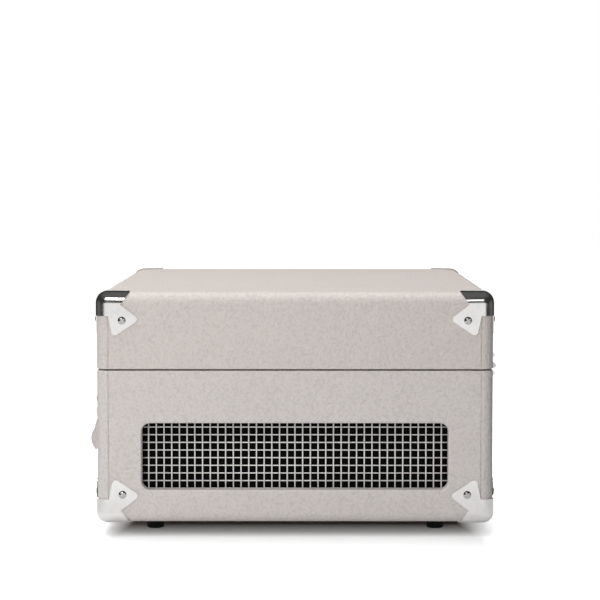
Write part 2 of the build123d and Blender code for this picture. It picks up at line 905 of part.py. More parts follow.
def panel_screw_places():
    x = panel_width / 2 - panel_lap / 2
    z = panel_height / 2 - panel_lap / 2
    return [((panel_x + sx * x, panel_face, panel_level + sz * z), BACK) for sx in (-1, 1) for sz in (-1, 1)]


def speaker_board_inner():
    return inner_end - mesh_thickness - cloth_thickness - speaker_board_thickness


def speaker_screw_places():
    places = []
    y = speaker_board_half_width - 3.5
    for end in ends():
        for sy in (-1, 1):
            for z in (floor_board_top + 5.0, speaker_board_top - 7.0):
                places.append(((end * speaker_board_inner(), sy * y, z), (-end, 0, 0)))
    return places


def base_fitting_places():
    places = corner_screw_places(base_bottom, 1)
    places += hinge_screw_places(-1)
    places += latch_screw_places()
    places += panel_screw_places()
    return places


def speaker_mount_depth():
    """How far the back of a speaker board is from the inside of the end wall."""
    return speaker_board_thickness + cloth_thickness + mesh_thickness


def base_screw_places():
    """Every screw that goes into the base's walls, where it meets the wood."""
    places = base_fitting_places() + handle_screw_places(front_face)
    for point, direction in speaker_screw_places():
        x = point[0] - direction[0] * speaker_mount_depth()
        places.append(((x, point[1], point[2]), direction))
    return places


def lid_screw_places():
    return corner_screw_places(lid_top, -1) + hinge_screw_places(1) + catch_screw_places()


def make_base_fitting_screws():
    screws = [case_screw(point, direction) for point, direction in corner_screw_places(base_bottom, 1)]
    smaller = hinge_screw_places(-1) + latch_screw_places() + panel_screw_places()
    screws += [small_screw(point, direction) for point, direction in smaller]
    long_screw = handle_bracket_proud + case_screw_length
    for point, direction in handle_screw_places(front_face - handle_bracket_proud):
        screws.append(pan_screw(point, direction, long_screw, case_screw_head_radius, case_screw_head_height))
    return screws


def make_lid_fitting_screws():
    screws = [case_screw(point, direction) for point, direction in corner_screw_places(lid_top, -1)]
    smaller = hinge_screw_places(1) + catch_screw_places()
    screws += [small_screw(point, direction) for point, direction in smaller]
    return screws


def make_board_screws():
    """The screws of the bottom board, the feet, the deck and the speaker boards."""
    places = bottom_screw_places() + foot_screw_places() + deck_screw_places()
    screws = [small_screw(point, direction) for point, direction in places]
    length = speaker_mount_depth() + case_screw_length
    for point, direction in speaker_screw_places():
        screws.append(pan_screw(point, direction, length, small_screw_head_radius, small_screw_head_height))
    return screws


# Grilles and speakers

def make_grille(end):
    """The wire mesh, as one flat piece with a gap between each two wires."""
    width = window_width + 2 * mesh_margin
    height = window_height + 2 * mesh_margin
    columns = int(window_width / mesh_pitch) + 1
    rows = int(window_height / mesh_pitch) + 1
    gap = mesh_pitch - mesh_wire
    holes = [Pos(x, y) * Rectangle(gap, gap) for x, y in grid_places(columns, rows)]
    sheet = Rectangle(width, height) - Sketch() - holes
    outer = inner_end - mesh_thickness
    place = Plane(origin=(end * outer, 0, window_level), x_dir=BACK, z_dir=(end, 0, 0))
    return extrude(place * sheet, mesh_thickness)


def grid_places(columns, rows):
    """The middles of the gaps of the mesh, about its own middle."""
    places = []
    for column in range(columns):
        for row in range(rows):
            x = (column - (columns - 1) / 2) * mesh_pitch
            y = (row - (rows - 1) / 2) * mesh_pitch
            places.append((x, y))
    return places


def make_speaker_cloths():
    half_width = window_width / 2 + mesh_margin
    half_height = window_height / 2 + mesh_margin
    pieces = []
    for end in ends():
        outer = inner_end - mesh_thickness
        x = (end * (outer - cloth_thickness), end * outer)
        z = (window_level - half_height, window_level + half_height)
        pieces.append(block(x, (-half_width, half_width), z))
    return pieces


def make_speaker_boards():
    pieces = []
    for end in ends():
        inner = speaker_board_inner()
        x = (end * inner, end * (inner + speaker_board_thickness))
        y = (-speaker_board_half_width, speaker_board_half_width)
        board = block(x, y, (floor_board_top + 0.3, speaker_board_top))
        hole_start = (end * (inner - 1), 0, window_level)
        board = board - rod(hole_start, (end, 0, 0), speaker_hole_radius, speaker_board_thickness + 2)
        for point, direction in speaker_screw_places():
            board = board - screw_hole(point, direction, 20.0)
        pieces.append(board)
    return pieces


def speaker_place(end):
    """Local Z points out of the case, and local zero is the back face of the board."""
    return Plane(origin=(end * speaker_board_inner(), 0, window_level), x_dir=BACK, z_dir=(end, 0, 0))


def make_speaker_frames():
    """The steel basket of each speaker, with four windows."""
    rim_inner = speaker_surround_radius + 0.3
    back_radius = speaker_magnet_radius - 1.0
    depth = speaker_frame_depth
    steel = 1.2
    coil_hole = speaker_coil_radius + 2.0
    basket_top = speaker_flange_radius - 3.0
    points = [
        (rim_inner, 0),
        (speaker_flange_radius, 0),
        (speaker_flange_radius, -2.0),
        (basket_top, -2.0),
        (back_radius, -depth),
        (coil_hole, -depth),
        (coil_hole, -depth + steel),
        (back_radius - 1.2, -depth + steel),
        (basket_top - 1.8, -2.0),
        (rim_inner, -2.0),
    ]
    frame = turned(points)
    window = block((speaker_flange_radius * 0.2, speaker_flange_radius), (-9, 9), (-depth + 4.0, -4.5))
    for turn in range(4):
        frame = frame - Rot(0, 0, 45 + 90 * turn) * window
    return [speaker_place(end) * frame for end in ends()]


def make_speaker_magnets():
    """The magnet ring, back plate and pole of each speaker, as one piece each."""
    front = -speaker_frame_depth
    back = front - speaker_magnet_depth
    gap_outer = speaker_coil_radius + 0.5
    pole = speaker_coil_radius - 0.7
    points = [
        (0, back),
        (speaker_magnet_radius, back),
        (speaker_magnet_radius, front),
        (gap_outer, front),
        (gap_outer, back + 3.0),
        (pole, back + 3.0),
        (pole, front + 0.5),
        (0, front + 0.5),
    ]
    magnet = turned(points)
    return [speaker_place(end) * magnet for end in ends()]


def make_speaker_cone(end):
    """The paper cone with its surround and coil former, which move together."""
    neck = speaker_coil_radius + 1.0
    former_inner = speaker_coil_radius - 0.3
    former_end = -speaker_frame_depth - 4.0
    cone_back = -12.0
    paper = 0.6
    roll_middle = (speaker_cone_radius + speaker_surround_radius) / 2
    points = [
        (0, cone_back + 3.6),
        (neck * 0.6, cone_back + 2.6),
        (neck, cone_back + paper),
        (speaker_cone_radius, -0.2),
        (roll_middle, 1.6),
        (speaker_surround_radius, -0.2),
        (speaker_surround_radius, -1.0),
        (roll_middle, 0.8),
        (speaker_cone_radius, -1.0),
        (neck, cone_back - paper),
        (speaker_coil_radius, cone_back - paper),
        (speaker_coil_radius, former_end),
        (former_inner, former_end),
        (former_inner, cone_back - paper),
        (neck * 0.6, cone_back + 1.8),
        (0, cone_back + 2.8),
    ]
    return speaker_place(end) * turned(points)


# Deck, platter and drive

def deck_screw_places():
    places = []
    for x in (-deck_screw_spacing, 0, deck_screw_spacing):
        for y in (inner_front + batten_depth / 2, inner_back - batten_depth / 2):
            places.append(((x, y, deck_top), UP))
    return places


def make_deck_plate():
    half_length = inner_end - deck_clearance
    half_depth = inner_back - deck_clearance
    deck = block((-half_length, half_length), (-half_depth, half_depth), (deck_under, deck_top))
    lifter_x, lifter_y = lifter_stem_place()
    holes = [
        (spindle_x, spindle_y, bearing_radius + bearing_clearance),
        (motor_x, motor_y, pulley_radius + pulley_flange + pulley_hole_clearance),
        (knob_x, knob_y, pot_neck_radius + pot_neck_clearance),
        (lamp_x, lamp_y, lamp_radius + lamp_clearance),
        (lifter_x, lifter_y, lifter_stem_radius + running_clearance),
    ]
    for x, y, radius in holes:
        deck = deck - rod((x, y, deck_under - 1), UP, radius, deck_thickness + 2)
    for y, travel in switch_rows():
        deck = deck - slider_slot(y, travel, deck_under - 1, deck_top + 1)
    deck = deck + rod((adapter_x, adapter_y, deck_top), UP, spindle_pin_radius - 0.2, adapter_thickness + 1.5)
    for point, direction in deck_screw_places():
        deck = deck - screw_hole(point, direction)
    return deck


def make_platter():
    skirt_low = platter_under - platter_skirt_drop
    rim_low = platter_under - drive_rim_drop
    rim_inner = drive_rim_radius - drive_rim_width
    points = [
        (spindle_neck_radius, platter_top),
        (platter_radius - 1.0, platter_top),
        (platter_radius, platter_top - 1.0),
        (platter_radius, skirt_low),
        (platter_radius - platter_skirt, skirt_low),
        (platter_radius - platter_skirt, platter_under),
        (drive_rim_radius, platter_under),
        (drive_rim_radius, rim_low),
        (rim_inner, rim_low),
        (rim_inner, platter_under),
        (hub_radius, platter_under),
        (hub_radius, platter_under - hub_drop),
        (spindle_neck_radius, platter_under - hub_drop),
    ]
    return Pos(spindle_x, spindle_y, 0) * turned(points)


def make_slip_mat():
    hole = spindle_pin_radius + mat_hole_clearance
    mat = turned([
        (hole, platter_top),
        (mat_radius, platter_top),
        (mat_radius, mat_top - 0.6),
        (mat_radius - 0.6, mat_top),
        (hole, mat_top),
    ])
    return Pos(spindle_x, spindle_y, 0) * mat


def make_spindle():
    foot = deck_top - bearing_depth + 1.6
    top = mat_top + spindle_pin_above_mat
    shaft_top = platter_under - hub_drop
    neck_top = mat_top + spindle_neck_above_mat
    points = [
        (0, foot),
        (spindle_shaft_radius, foot),
        (spindle_shaft_radius, shaft_top),
        (spindle_neck_radius, shaft_top),
        (spindle_neck_radius, neck_top),
        (spindle_pin_radius, neck_top),
        (spindle_pin_radius, top - 2.0),
        (spindle_pin_radius * 0.55, top - 0.4),
        (0, top),
    ]
    return Pos(spindle_x, spindle_y, 0) * turned(points)


def make_platter_bearing():
    foot = deck_top - bearing_depth
    bore = spindle_shaft_radius + running_clearance
    top = deck_top + 1.6
    points = [
        (0, foot),
        (bearing_radius, foot),
        (bearing_radius, deck_under - bearing_flange),
        (bearing_flange_radius, deck_under - bearing_flange),
        (bearing_flange_radius, deck_under),
        (bearing_radius, deck_under),
        (bearing_radius, top),
        (bore, top),
        (bore, foot + 1.5),
        (0, foot + 1.5),
    ]
    return Pos(spindle_x, spindle_y, 0) * turned(points)


def belt_loop(grow):
    """The face that a belt round the drive rim and the pulley encloses."""
    large = drive_rim_radius + belt_clearance + grow
    small = pulley_radius + belt_clearance + grow
    angle = math.acos((large - small) / motor_distance)
    side_x = math.cos(angle)
    side_y = math.sin(angle)
    corners = [
        (large * side_x, large * side_y),
        (motor_distance + small * side_x, small * side_y),
        (motor_distance + small * side_x, -small * side_y),
        (large * side_x, -large * side_y),
    ]
    middle = make_face(Polyline(*corners, close=True))
    return Circle(large) + Pos(motor_distance, 0) * Circle(small) + middle


def make_drive_belt():
    low = platter_under - drive_rim_drop + 0.6
    ring = belt_loop(belt_thickness) - belt_loop(0)
    belt = extrude(ring, belt_width)
    return Pos(spindle_x, spindle_y, low) * Rot(0, 0, motor_direction) * belt


def make_motor():
    foot = deck_under - motor_height
    points = [
        (0, foot),
        (motor_radius - 1.0, foot),
        (motor_radius, foot + 1.0),
        (motor_radius, deck_under - 2.0),
        (motor_radius + 3.0, deck_under - 2.0),
        (motor_radius + 3.0, deck_under),
        (motor_shaft_radius + running_clearance, deck_under),
        (motor_shaft_radius + running_clearance, foot + 4.0),
        (0, foot + 4.0),
    ]
    return Pos(motor_x, motor_y, 0) * turned(points)


def make_motor_pulley():
    low = platter_under - drive_rim_drop - 0.2
    top = platter_under - 0.5
    points = [
        (0, deck_under - motor_height + 4.2),
        (motor_shaft_radius, deck_under - motor_height + 4.2),
        (motor_shaft_radius, low - 0.4),
        (pulley_radius + pulley_flange, low - 0.4),
        (pulley_radius + pulley_flange, low + 0.4),
        (pulley_radius, low + 0.8),
        (pulley_radius, top),
        (0, top),
    ]
    return Pos(motor_x, motor_y, 0) * turned(points)


# Tonearm. It is made along -Y about its pivot, then turned into its rest.

def arm_placed(shape):
    return Pos(arm_pivot_x, arm_pivot_y, 0) * Rot(0, 0, arm_rest_angle) * shape


def arm_point(distance):
    """A point under the arm, at a distance from its pivot, as it lies in its rest."""
    angle = math.radians(arm_rest_angle)
    return arm_pivot_x + distance * math.sin(angle), arm_pivot_y - distance * math.cos(angle)


def cue_ears():
    """The two ears that carry the cue lever's axle."""
    inner = cue_hub_radius + 0.6
    level = deck_top + cue_above_deck
    pieces = []
    for side in (-1, 1):
        x = (cue_x + side * inner, cue_x + side * (inner + 2.0))
        ear = block(x, (cue_y - 3.0, cue_y + 3.0), (deck_top, level))
        pieces.append(ear + rod((min(x), cue_y, level), RIGHT, 3.0, 2.0))
    return pieces


def make_arm_base():
    """The fixed foot of the tonearm, with the ears of the cue lever on its plate."""
    foot = rod((arm_pivot_x, arm_pivot_y, deck_top), UP, arm_base_radius, arm_base_height)
    foot = fillet(foot.edges().sort_by(Axis.Z)[-1], 1.5)
    plate_x = (arm_pivot_x, cue_x + cue_hub_radius + 2.6)
    plate = block(plate_x, (arm_pivot_y - 6.0, cue_y + 5.0), (deck_top, deck_top + 1.6))
    body = foot + plate
    for ear in cue_ears():
        body = body + ear
    bore_radius = turret_shaft_radius + running_clearance
    bore_start = (arm_pivot_x, arm_pivot_y, deck_top + 1.0)
    body = body - rod(bore_start, UP, bore_radius, arm_base_height)
    axle_hole = cue_axle_radius + running_clearance
    axle_start = (cue_x - 10, cue_y, deck_top + cue_above_deck)
    return body - rod(axle_start, RIGHT, axle_hole, 20)


def make_arm_turret():
    """The turning part: a round foot with two cheeks, on a shaft in the arm base."""
    low = deck_top + arm_base_height + 0.3
    hub_top = low + turret_foot
    hub = Pos(0, 0, low) * Cylinder(turret_radius, turret_foot, align=FROM_LOW_END)
    shaft_foot = deck_top + 1.2
    shaft = Cylinder(turret_shaft_radius, low - shaft_foot, align=FROM_LOW_END)
    shaft = Pos(0, 0, shaft_foot) * shaft
    body = hub + shaft
    inner = arm_block_width / 2 + arm_side_gap
    half_depth = turret_cheek_depth / 2
    for side in (-1, 1):
        x = (side * inner, side * (inner + turret_cheek))
        cheek = block(x, (-half_depth, half_depth), (hub_top - 1.0, arm_axis + 4.5))
        top_edges = cheek.edges().filter_by(Axis.X).sort_by(Axis.Z)[-2:]
        cheek = fillet(top_edges, 3.5)
        body = body + (cheek & Pos(0, 0, hub_top - 1.0) * Cylinder(turret_radius + 2, 40, align=FROM_LOW_END))
    axle_hole = arm_pin_radius + running_clearance
    body = body - rod((-30, 0, arm_axis), RIGHT, axle_hole, 60)
    return arm_placed(body)


def shell_span():
    """Where the headshell starts and ends along the arm."""
    return arm_reach - shell_length, arm_reach


def arm_tube_span():
    """Where the tube starts in its block, and where it ends in the headshell."""
    return arm_block_front - arm_tube_socket, shell_span()[0] + arm_tube_in_shell


def arm_tube():
    start, end = arm_tube_span()
    return rod((0, -start, arm_axis), FRONT, arm_tube_radius, end - start)


def make_tonearm():
    return arm_placed(arm_tube())


def make_arm_block():
    """The block that holds the tube and tilts on its axle in the turret."""
    half = arm_block_width / 2
    z = (arm_axis - arm_block_height / 2, arm_axis + arm_block_height / 2)
    body = block((-half, half), (-arm_block_front, arm_block_back), z)
    body = fillet(body.edges().filter_by(Axis.Y), 2.0)
    axle_half = half + arm_side_gap + turret_cheek
    axle = rod((-axle_half, 0, arm_axis), RIGHT, arm_pin_radius, 2 * axle_half)
    return arm_placed(body - arm_tube() + axle)


def make_tail_weight():
    tail = rod((0, arm_block_back, arm_axis), BACK, tail_radius, tail_length)
    tail = fillet(tail.edges().filter_by(GeomType.CIRCLE), 1.2)
    return arm_placed(tail)


def make_headshell():
    start, front = shell_span()
    half = shell_width / 2
    top = arm_axis
    plate = block((-half, half), (-front, -start), (top - shell_thickness, top))
    front_corners = plate.edges().filter_by(Axis.Z).sort_by(Axis.Y)[0:2]
    rear_corners = plate.edges().filter_by(Axis.Z).sort_by(Axis.Y)[-2:]
    plate = fillet(front_corners, 3.0)
    plate = chamfer(plate.edges().filter_by(Axis.Z).sort_by(Axis.Y)[-2:], 5.0)
    collar = rod((0, -start + 2.0, arm_axis - 0.4), FRONT, arm_tube_radius + 1.6, 10.0)
    finger = block((half - 2.0, half + 8.0), (-arm_length - 2.0, -arm_length + 4.0), (top - 1.4, top))
    finger = fillet(finger.edges().filter_by(Axis.Z).sort_by(Axis.X)[-2:], 2.0)
    return arm_placed(plate + collar + finger - arm_tube())


def cartridge_levels():
    top = arm_axis - shell_thickness
    return top - cartridge_height, top


def make_cartridge():
    low, top = cartridge_levels()
    half = cartridge_width / 2
    front = arm_reach - 2.0
    body = block((-half, half), (-front, -front + cartridge_length), (low, top))
    body = chamfer(body.edges().filter_by(Axis.X).sort_by(Axis.Z)[0:2], 1.6)
    body = fillet(body.edges().filter_by(Axis.Z), 1.0)
    return arm_placed(body)


def make_stylus():
    """The stylus holder under the cartridge, with its tip."""
    low, _ = cartridge_levels()
    holder = block((-2.5, 2.5), (-arm_length - 4.0, -arm_length + 7.0), (low - 0.7, low))
    tip = Pos(0, -arm_length, low - 0.7 - stylus_drop) * Cone(0.12, 0.5, stylus_drop, align=FROM_LOW_END)
    return arm_placed(holder + tip)


def rest_platform_top():
    return arm_axis - arm_tube_radius - rest_gap


def make_arm_rest():
    """The bracket beside the platter, with a beam under the tube."""
    tube_x, tube_y = arm_point(arm_rest_distance)
    top = rest_platform_top()
    post_x = (inner_end - 10.0, inner_end - 2.0)
    post = block(post_x, (tube_y - 6.0, tube_y + 6.0), (deck_top, top))
    return post + block((tube_x - 5.0, post_x[1]), rest_width(), (top - rest_beam, top))


def rest_width():
    tube_y = arm_point(arm_rest_distance)[1]
    return tube_y - rest_half_width, tube_y + rest_half_width


def make_arm_stop():
    """The pad on the beam that keeps the tube from swinging out to the wall."""
    start = arm_point(arm_rest_distance)[0] + arm_tube_radius + stop_gap
    top = rest_platform_top()
    return block((start, start + stop_thickness), rest_width(), (top, top + stop_height))


def lifter_stem_place():
    """The stem stands under the middle of the lifter's curved bar."""
    radius = (lifter_inner + lifter_outer) / 2
    angle = math.radians(arm_rest_angle - lifter_sweep / 2 + lifter_past_arm)
    return arm_pivot_x + radius * math.sin(angle), arm_pivot_y - radius * math.cos(angle)


def make_arm_lifter():
    """The curved bar under the arm, on a stem that slides in the deck."""
    top = arm_axis - arm_tube_radius - lifter_gap
    low = top - lifter_thickness
    ring = Circle(lifter_outer) - Circle(lifter_inner)
    start = math.radians(arm_rest_angle + lifter_past_arm)
    end = math.radians(arm_rest_angle + lifter_past_arm - lifter_sweep)
    far = 2 * lifter_outer
    wedge = make_face(Polyline(
        (0, 0),
        (far * math.sin(start), -far * math.cos(start)),
        (far * math.sin(end), -far * math.cos(end)),
        close=True,
    ))
    bar = extrude(ring & wedge, lifter_thickness)
    bar = Pos(arm_pivot_x, arm_pivot_y, low) * bar
    x, y = lifter_stem_place()
    stem = rod((x, y, deck_under - 4.0), UP, lifter_stem_radius, low - deck_under + 4.0 + 0.2)
    return bar + stem


def make_cue_lever():
    level = deck_top + cue_above_deck
    half = cue_hub_radius
    hub = rod((cue_x - half, cue_y, level), RIGHT, cue_hub_radius, 2 * half)
    axle_half = half + 2.6
    axle = rod((cue_x - axle_half, cue_y, level), RIGHT, cue_axle_radius, 2 * axle_half)
    arm = block((cue_x - 1.5, cue_x + 1.5), (cue_y - cue_lever_length, cue_y), (level, level + 2.0))
    pad = block(
        (cue_x - 4.0, cue_x + 4.0),
        (cue_y - cue_lever_length - 4.0, cue_y - cue_lever_length + 4.0),
        (level - 0.4, level + 2.6),
    )
    pad = fillet(pad.edges().filter_by(Axis.Z), 2.5)
    return hub + axle + arm + pad


# Controls

def make_volume_pot():
    low = deck_under - pot_depth
    bore = knob_stem_radius + running_clearance
    points = [
        (0, low),
        (pot_radius, low),
        (pot_radius, deck_under),
        (pot_neck_radius, deck_under),
        (pot_neck_radius, deck_top),
        (bore, deck_top),
        (bore, low + 2.0),
        (0, low + 2.0),
    ]
    return Pos(knob_x, knob_y, 0) * turned(points)


def make_volume_knob():
    low = deck_top + knob_gap
    top = low + knob_height
    body = Pos(0, 0, low) * Cylinder(knob_radius, knob_height, align=FROM_LOW_END)
    body = fillet(body.edges().sort_by(Axis.Z)[-1], 1.0)
    flute = Pos(knob_radius + 0.35, 0, low - 1) * Cylinder(0.8, knob_height - 0.5, align=FROM_LOW_END)
    for turn in range(knob_flutes):
        body = body - Rot(0, 0, 360 / knob_flutes * turn) * flute
    pointer = block((-0.6, 0.6), (knob_radius * 0.35, knob_radius - 1.4), (top - 0.5, top + 1))
    body = body - pointer
    stem_low = deck_under - pot_depth + 2.2
    stem = Pos(0, 0, stem_low) * Cylinder(knob_stem_radius, low - stem_low, align=FROM_LOW_END)
    return Pos(knob_x, knob_y, 0) * (body + stem)


def switch_rows():
    """The place along Y and the travel of the speed slider and the auto-stop slider."""
    return [(speed_switch_y, slider_travel_speed), (stop_switch_y, slider_travel_stop)]


def slider_slot(y, travel, low, high):
    """The slot that a slider's stem runs in, between two levels."""
    half = slider_slot_width / 2
    slot_y = (y - slider_slot_run, y + travel + slider_slot_run)
    return block((switch_x - half, switch_x + half), slot_y, (low, high))


def make_slide_switches():
    """The two switch bodies under the deck, each with a slot for its slider."""
    bodies = []
    for y, travel in switch_rows():
        body_y = (y - slider_slot_run - 2.0, y + travel + slider_slot_run + 2.0)
        body = block((switch_x - 4.5, switch_x + 4.5), body_y, (deck_under - 6.0, deck_under))
        bodies.append(body - slider_slot(y, travel, deck_under - 4.0, deck_under + 1))
    return bodies


def make_slider(y):
    """A slider's cap on the deck, with its stem in the slot."""
    cap = block((switch_x - 3.5, switch_x + 3.5), (y - 3.5, y + 3.5), (deck_top + 0.2, deck_top + 3.6))
    cap = fillet(cap.edges().filter_by(Axis.Z), 1.0)
    groove = block((switch_x - 4.5, switch_x + 4.5), (y - 0.6, y + 0.6), (deck_top + 2.9, deck_top + 5))
    cap = cap - groove
    for shift in (-2.0, 2.0):
        cap = cap - Pos(0, shift, 0) * groove
    half = slider_stem_width / 2
    stem = block((switch_x - half, switch_x + half), (y - 2.2, y + 2.2), (deck_under - 3.6, deck_top + 0.4))
    return cap + stem


def make_power_lamp():
    lamp = rod((lamp_x, lamp_y, deck_under - 2.0), UP, lamp_radius, deck_thickness + 2.6)
    return fillet(lamp.edges().sort_by(Axis.Z)[-1], 1.2)


def make_record_adapter():
    """The disc that fills the large hole of a small record."""
    top = deck_top + adapter_thickness
    low = deck_top
    hole = spindle_pin_radius + 0.05
    body = turned([
        (hole, low),
        (adapter_radius, low),
        (adapter_radius, top - 0.8),
        (adapter_radius - 0.8, top),
        (adapter_radius - 4.0, top),
        (adapter_radius - 5.0, top - 1.4),
        (hole + 4.0, top - 1.4),
        (hole + 3.0, top),
        (hole, top),
    ])
    return Pos(adapter_x, adapter_y, 0) * body


# Connector panel and circuit board

def rca_places():
    x = panel_x - panel_width / 2 + panel_lap + rca_from_lap
    return [x, x + rca_spacing]


def jack_places():
    x = rca_places()[1] + jack_after_rca
    return [x, x + jack_spacing]


def dc_place():
    return jack_places()[1] + dc_after_jack


def make_connector_panel():
    plate = rounded_slab(panel_width, panel_height, 3.0, panel_thickness)
    plate = on_back(panel_x, panel_level) * plate
    holes = [(x, rca_radius) for x in rca_places()]
    holes += [(x, jack_radius) for x in jack_places()]
    holes.append((dc_place(), dc_radius))
    for x, radius in holes:
        hole_radius = radius + socket_hole_clearance
        plate = plate - rod((x, back_face - 1, panel_level), BACK, hole_radius, panel_thickness + 2)
    for point, direction in panel_screw_places():
        plate = plate - screw_hole(point, direction)
    return plate


def socket_body(x, half_width, half_height):
    """The part of a socket behind the panel."""
    y = (back_face - socket_depth, back_face)
    return block((x - half_width, x + half_width), y, (panel_level - half_height, panel_level + half_height))


def make_rca_sockets():
    pieces = []
    neck_face = panel_face + rca_neck_proud
    for x in rca_places():
        body = socket_body(x, 6.5, 7.0)
        body = body + rod((x, back_face, panel_level), BACK, rca_neck_radius, neck_face - back_face)
        body = body + rod((x, neck_face, panel_level), BACK, rca_radius, rca_proud - rca_neck_proud)
        bore = rod((x, panel_face + rca_proud + 1, panel_level), FRONT, rca_bore_radius, rca_proud + 6)
        pieces.append(body - bore)
    return pieces


def make_mini_jacks():
    pieces = []
    for x in jack_places():
        body = socket_body(x, 5.0, 5.5)
        body = body + rod((x, back_face, panel_level), BACK, jack_radius, panel_thickness + jack_proud)
        bore = rod((x, panel_face + jack_proud + 1, panel_level), FRONT, jack_bore_radius, 15.0)
        pieces.append(body - bore)
    return pieces


def make_dc_socket():
    x = dc_place()
    body = socket_body(x, 5.5, 6.0)
    body = body + rod((x, back_face, panel_level), BACK, dc_radius, panel_thickness + 0.6)
    mouth = panel_face + 0.6
    body = body - rod((x, mouth + 1, panel_level), FRONT, dc_bore_radius, 11.0)
    return body + rod((x, mouth - dc_pin_recess, panel_level), FRONT, dc_pin_radius, 8.0)


def circuit_board_face():
    return back_face - socket_depth


def make_circuit_board():
    """The amplifier board behind the sockets, with its heat sink and capacitors."""
    face = circuit_board_face()
    half_width = panel_width / 2 - panel_lap - 1.0
    x = (panel_x - half_width, panel_x + half_width)
    z = (panel_level - 20.0, panel_level + 24.0)
    board = block(x, (face - circuit_board_thickness, face), z)
    inner = face - circuit_board_thickness
    parts = board
    for place in range(3):
        cap_x = x[0] + 12.0 + 14.0 * place
        can = rod((cap_x, inner, panel_level + 12.0), FRONT, 4.0, 12.0)
        parts = parts + can
    chip_z = (panel_level - 4.0, panel_level + 4.0)
    chip = block((panel_x + 2.0, panel_x + 22.0), (inner - 3.0, inner), chip_z)
    parts = parts + chip
    for fin in range(6):
        fin_x = panel_x + 2.0 + 3.6 * fin
        plate = block((fin_x, fin_x + 1.2), (inner - 12.0, inner - 2.0), chip_z)
        parts = parts + plate
    coil = rod((x[1] - 12.0, inner, panel_level - 8.0), FRONT, 5.0, 7.0)
    return parts + coil


# Every piece under its own name

def make_pieces():
    return {
        "base_case": make_base_case(),
        "bottom_panel": make_bottom_panel(),
        "wood_battens": make_battens(),
        "board_screws": make_board_screws(),
        "feet": make_feet(),
        "base_corners": corner_set(base_bottom, False, base_edge_radius),
        "base_fitting_screws": make_base_fitting_screws(),
        "base_hinge_leaves": make_hinge_leaves(-1),
        "hinge_pins": make_hinge_pins(),
        "grille_right": make_grille(1),
        "grille_left": make_grille(-1),
        "speaker_cloths": make_speaker_cloths(),
        "speaker_boards": make_speaker_boards(),
        "speaker_frames": make_speaker_frames(),
        "speaker_magnets": make_speaker_magnets(),
        "speaker_cone_right": make_speaker_cone(1),
        "speaker_cone_left": make_speaker_cone(-1),
        "handle_brackets": make_handle_brackets(),
        "carry_handle": make_carry_handle(),
        "latch_plate": make_latch_plate(),
        "latch_hasp": make_latch_hasp(),
        "latch_catch": make_latch_catch(),
        "catch_stud": make_catch_stud(),
        "lid_case": make_lid_case(),
        "lid_lining": make_lid_lining(),
        "lid_corners": corner_set(lid_top, True, lid_edge_radius),
        "lid_hinge_leaves": make_hinge_leaves(1),
        "lid_fitting_screws": make_lid_fitting_screws(),
        "deck_plate": make_deck_plate(),
        "platter": make_platter(),
        "slip_mat": make_slip_mat(),
        "spindle": make_spindle(),
        "platter_bearing": make_platter_bearing(),
        "drive_belt": make_drive_belt(),
        "motor": make_motor(),
        "motor_pulley": make_motor_pulley(),
        "arm_base": make_arm_base(),
        "arm_turret": make_arm_turret(),
        "tonearm": make_tonearm(),
        "arm_block": make_arm_block(),
        "tail_weight": make_tail_weight(),
        "headshell": make_headshell(),
        "cartridge": make_cartridge(),
        "stylus": make_stylus(),
        "arm_rest": make_arm_rest(),
        "arm_stop": make_arm_stop(),
        "arm_lifter": make_arm_lifter(),
        "cue_lever": make_cue_lever(),
        "volume_pot": make_volume_pot(),
        "volume_knob": make_volume_knob(),
        "slide_switches": make_slide_switches(),
        "speed_slider": make_slider(speed_switch_y),
        "auto_stop_slider": make_slider(stop_switch_y),
        "power_lamp": make_power_lamp(),
        "record_adapter": make_record_adapter(),
        "connector_panel": make_connector_panel(),
        "rca_sockets": make_rca_sockets(),
        "mini_jacks": make_mini_jacks(),
        "dc_socket": make_dc_socket(),
        "circuit_board": make_circuit_board(),
    }


os.makedirs("parts", exist_ok=True)
for name, piece in make_pieces().items():
    solids = piece if isinstance(piece, list) else [piece]
    moved = [Pos(0, origin_shift_y, 0) * solid for solid in solids]
    shape = moved[0] if len(moved) == 1 else Compound(children=moved)
    export_step(shape, f"parts/{name}.step")
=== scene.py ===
import json
import math

import bmesh
import bpy
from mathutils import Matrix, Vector


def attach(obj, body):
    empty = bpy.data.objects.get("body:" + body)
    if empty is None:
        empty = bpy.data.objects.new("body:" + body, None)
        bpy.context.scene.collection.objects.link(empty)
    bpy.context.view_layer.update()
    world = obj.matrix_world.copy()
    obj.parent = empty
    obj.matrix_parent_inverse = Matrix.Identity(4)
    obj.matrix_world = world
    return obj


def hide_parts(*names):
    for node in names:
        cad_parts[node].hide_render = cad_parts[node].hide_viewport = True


# Looks of the portable record player, in metres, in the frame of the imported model.
# +X is the right-hand end, which the camera sees; -Y the front with the handle; +Z up.

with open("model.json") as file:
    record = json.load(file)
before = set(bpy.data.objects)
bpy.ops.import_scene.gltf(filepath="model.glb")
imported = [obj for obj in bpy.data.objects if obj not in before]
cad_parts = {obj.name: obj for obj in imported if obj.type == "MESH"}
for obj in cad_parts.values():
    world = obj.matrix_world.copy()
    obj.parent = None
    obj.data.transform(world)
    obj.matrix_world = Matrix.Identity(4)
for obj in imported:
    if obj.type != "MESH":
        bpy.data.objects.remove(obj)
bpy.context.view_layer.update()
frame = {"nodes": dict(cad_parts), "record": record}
nodes = frame["nodes"]

# Sizes shared with the model
SHIFT_Y = 0.00215
END_FACE = 0.170
BACK_FACE = 0.130 + SHIFT_Y
LID_BOTTOM = 0.1099
SPINDLE = Vector((-0.004, -0.024 + SHIFT_Y, 0.113))
LAMP_CENTRE = (-0.148, -0.080 + SHIFT_Y, 0.1)

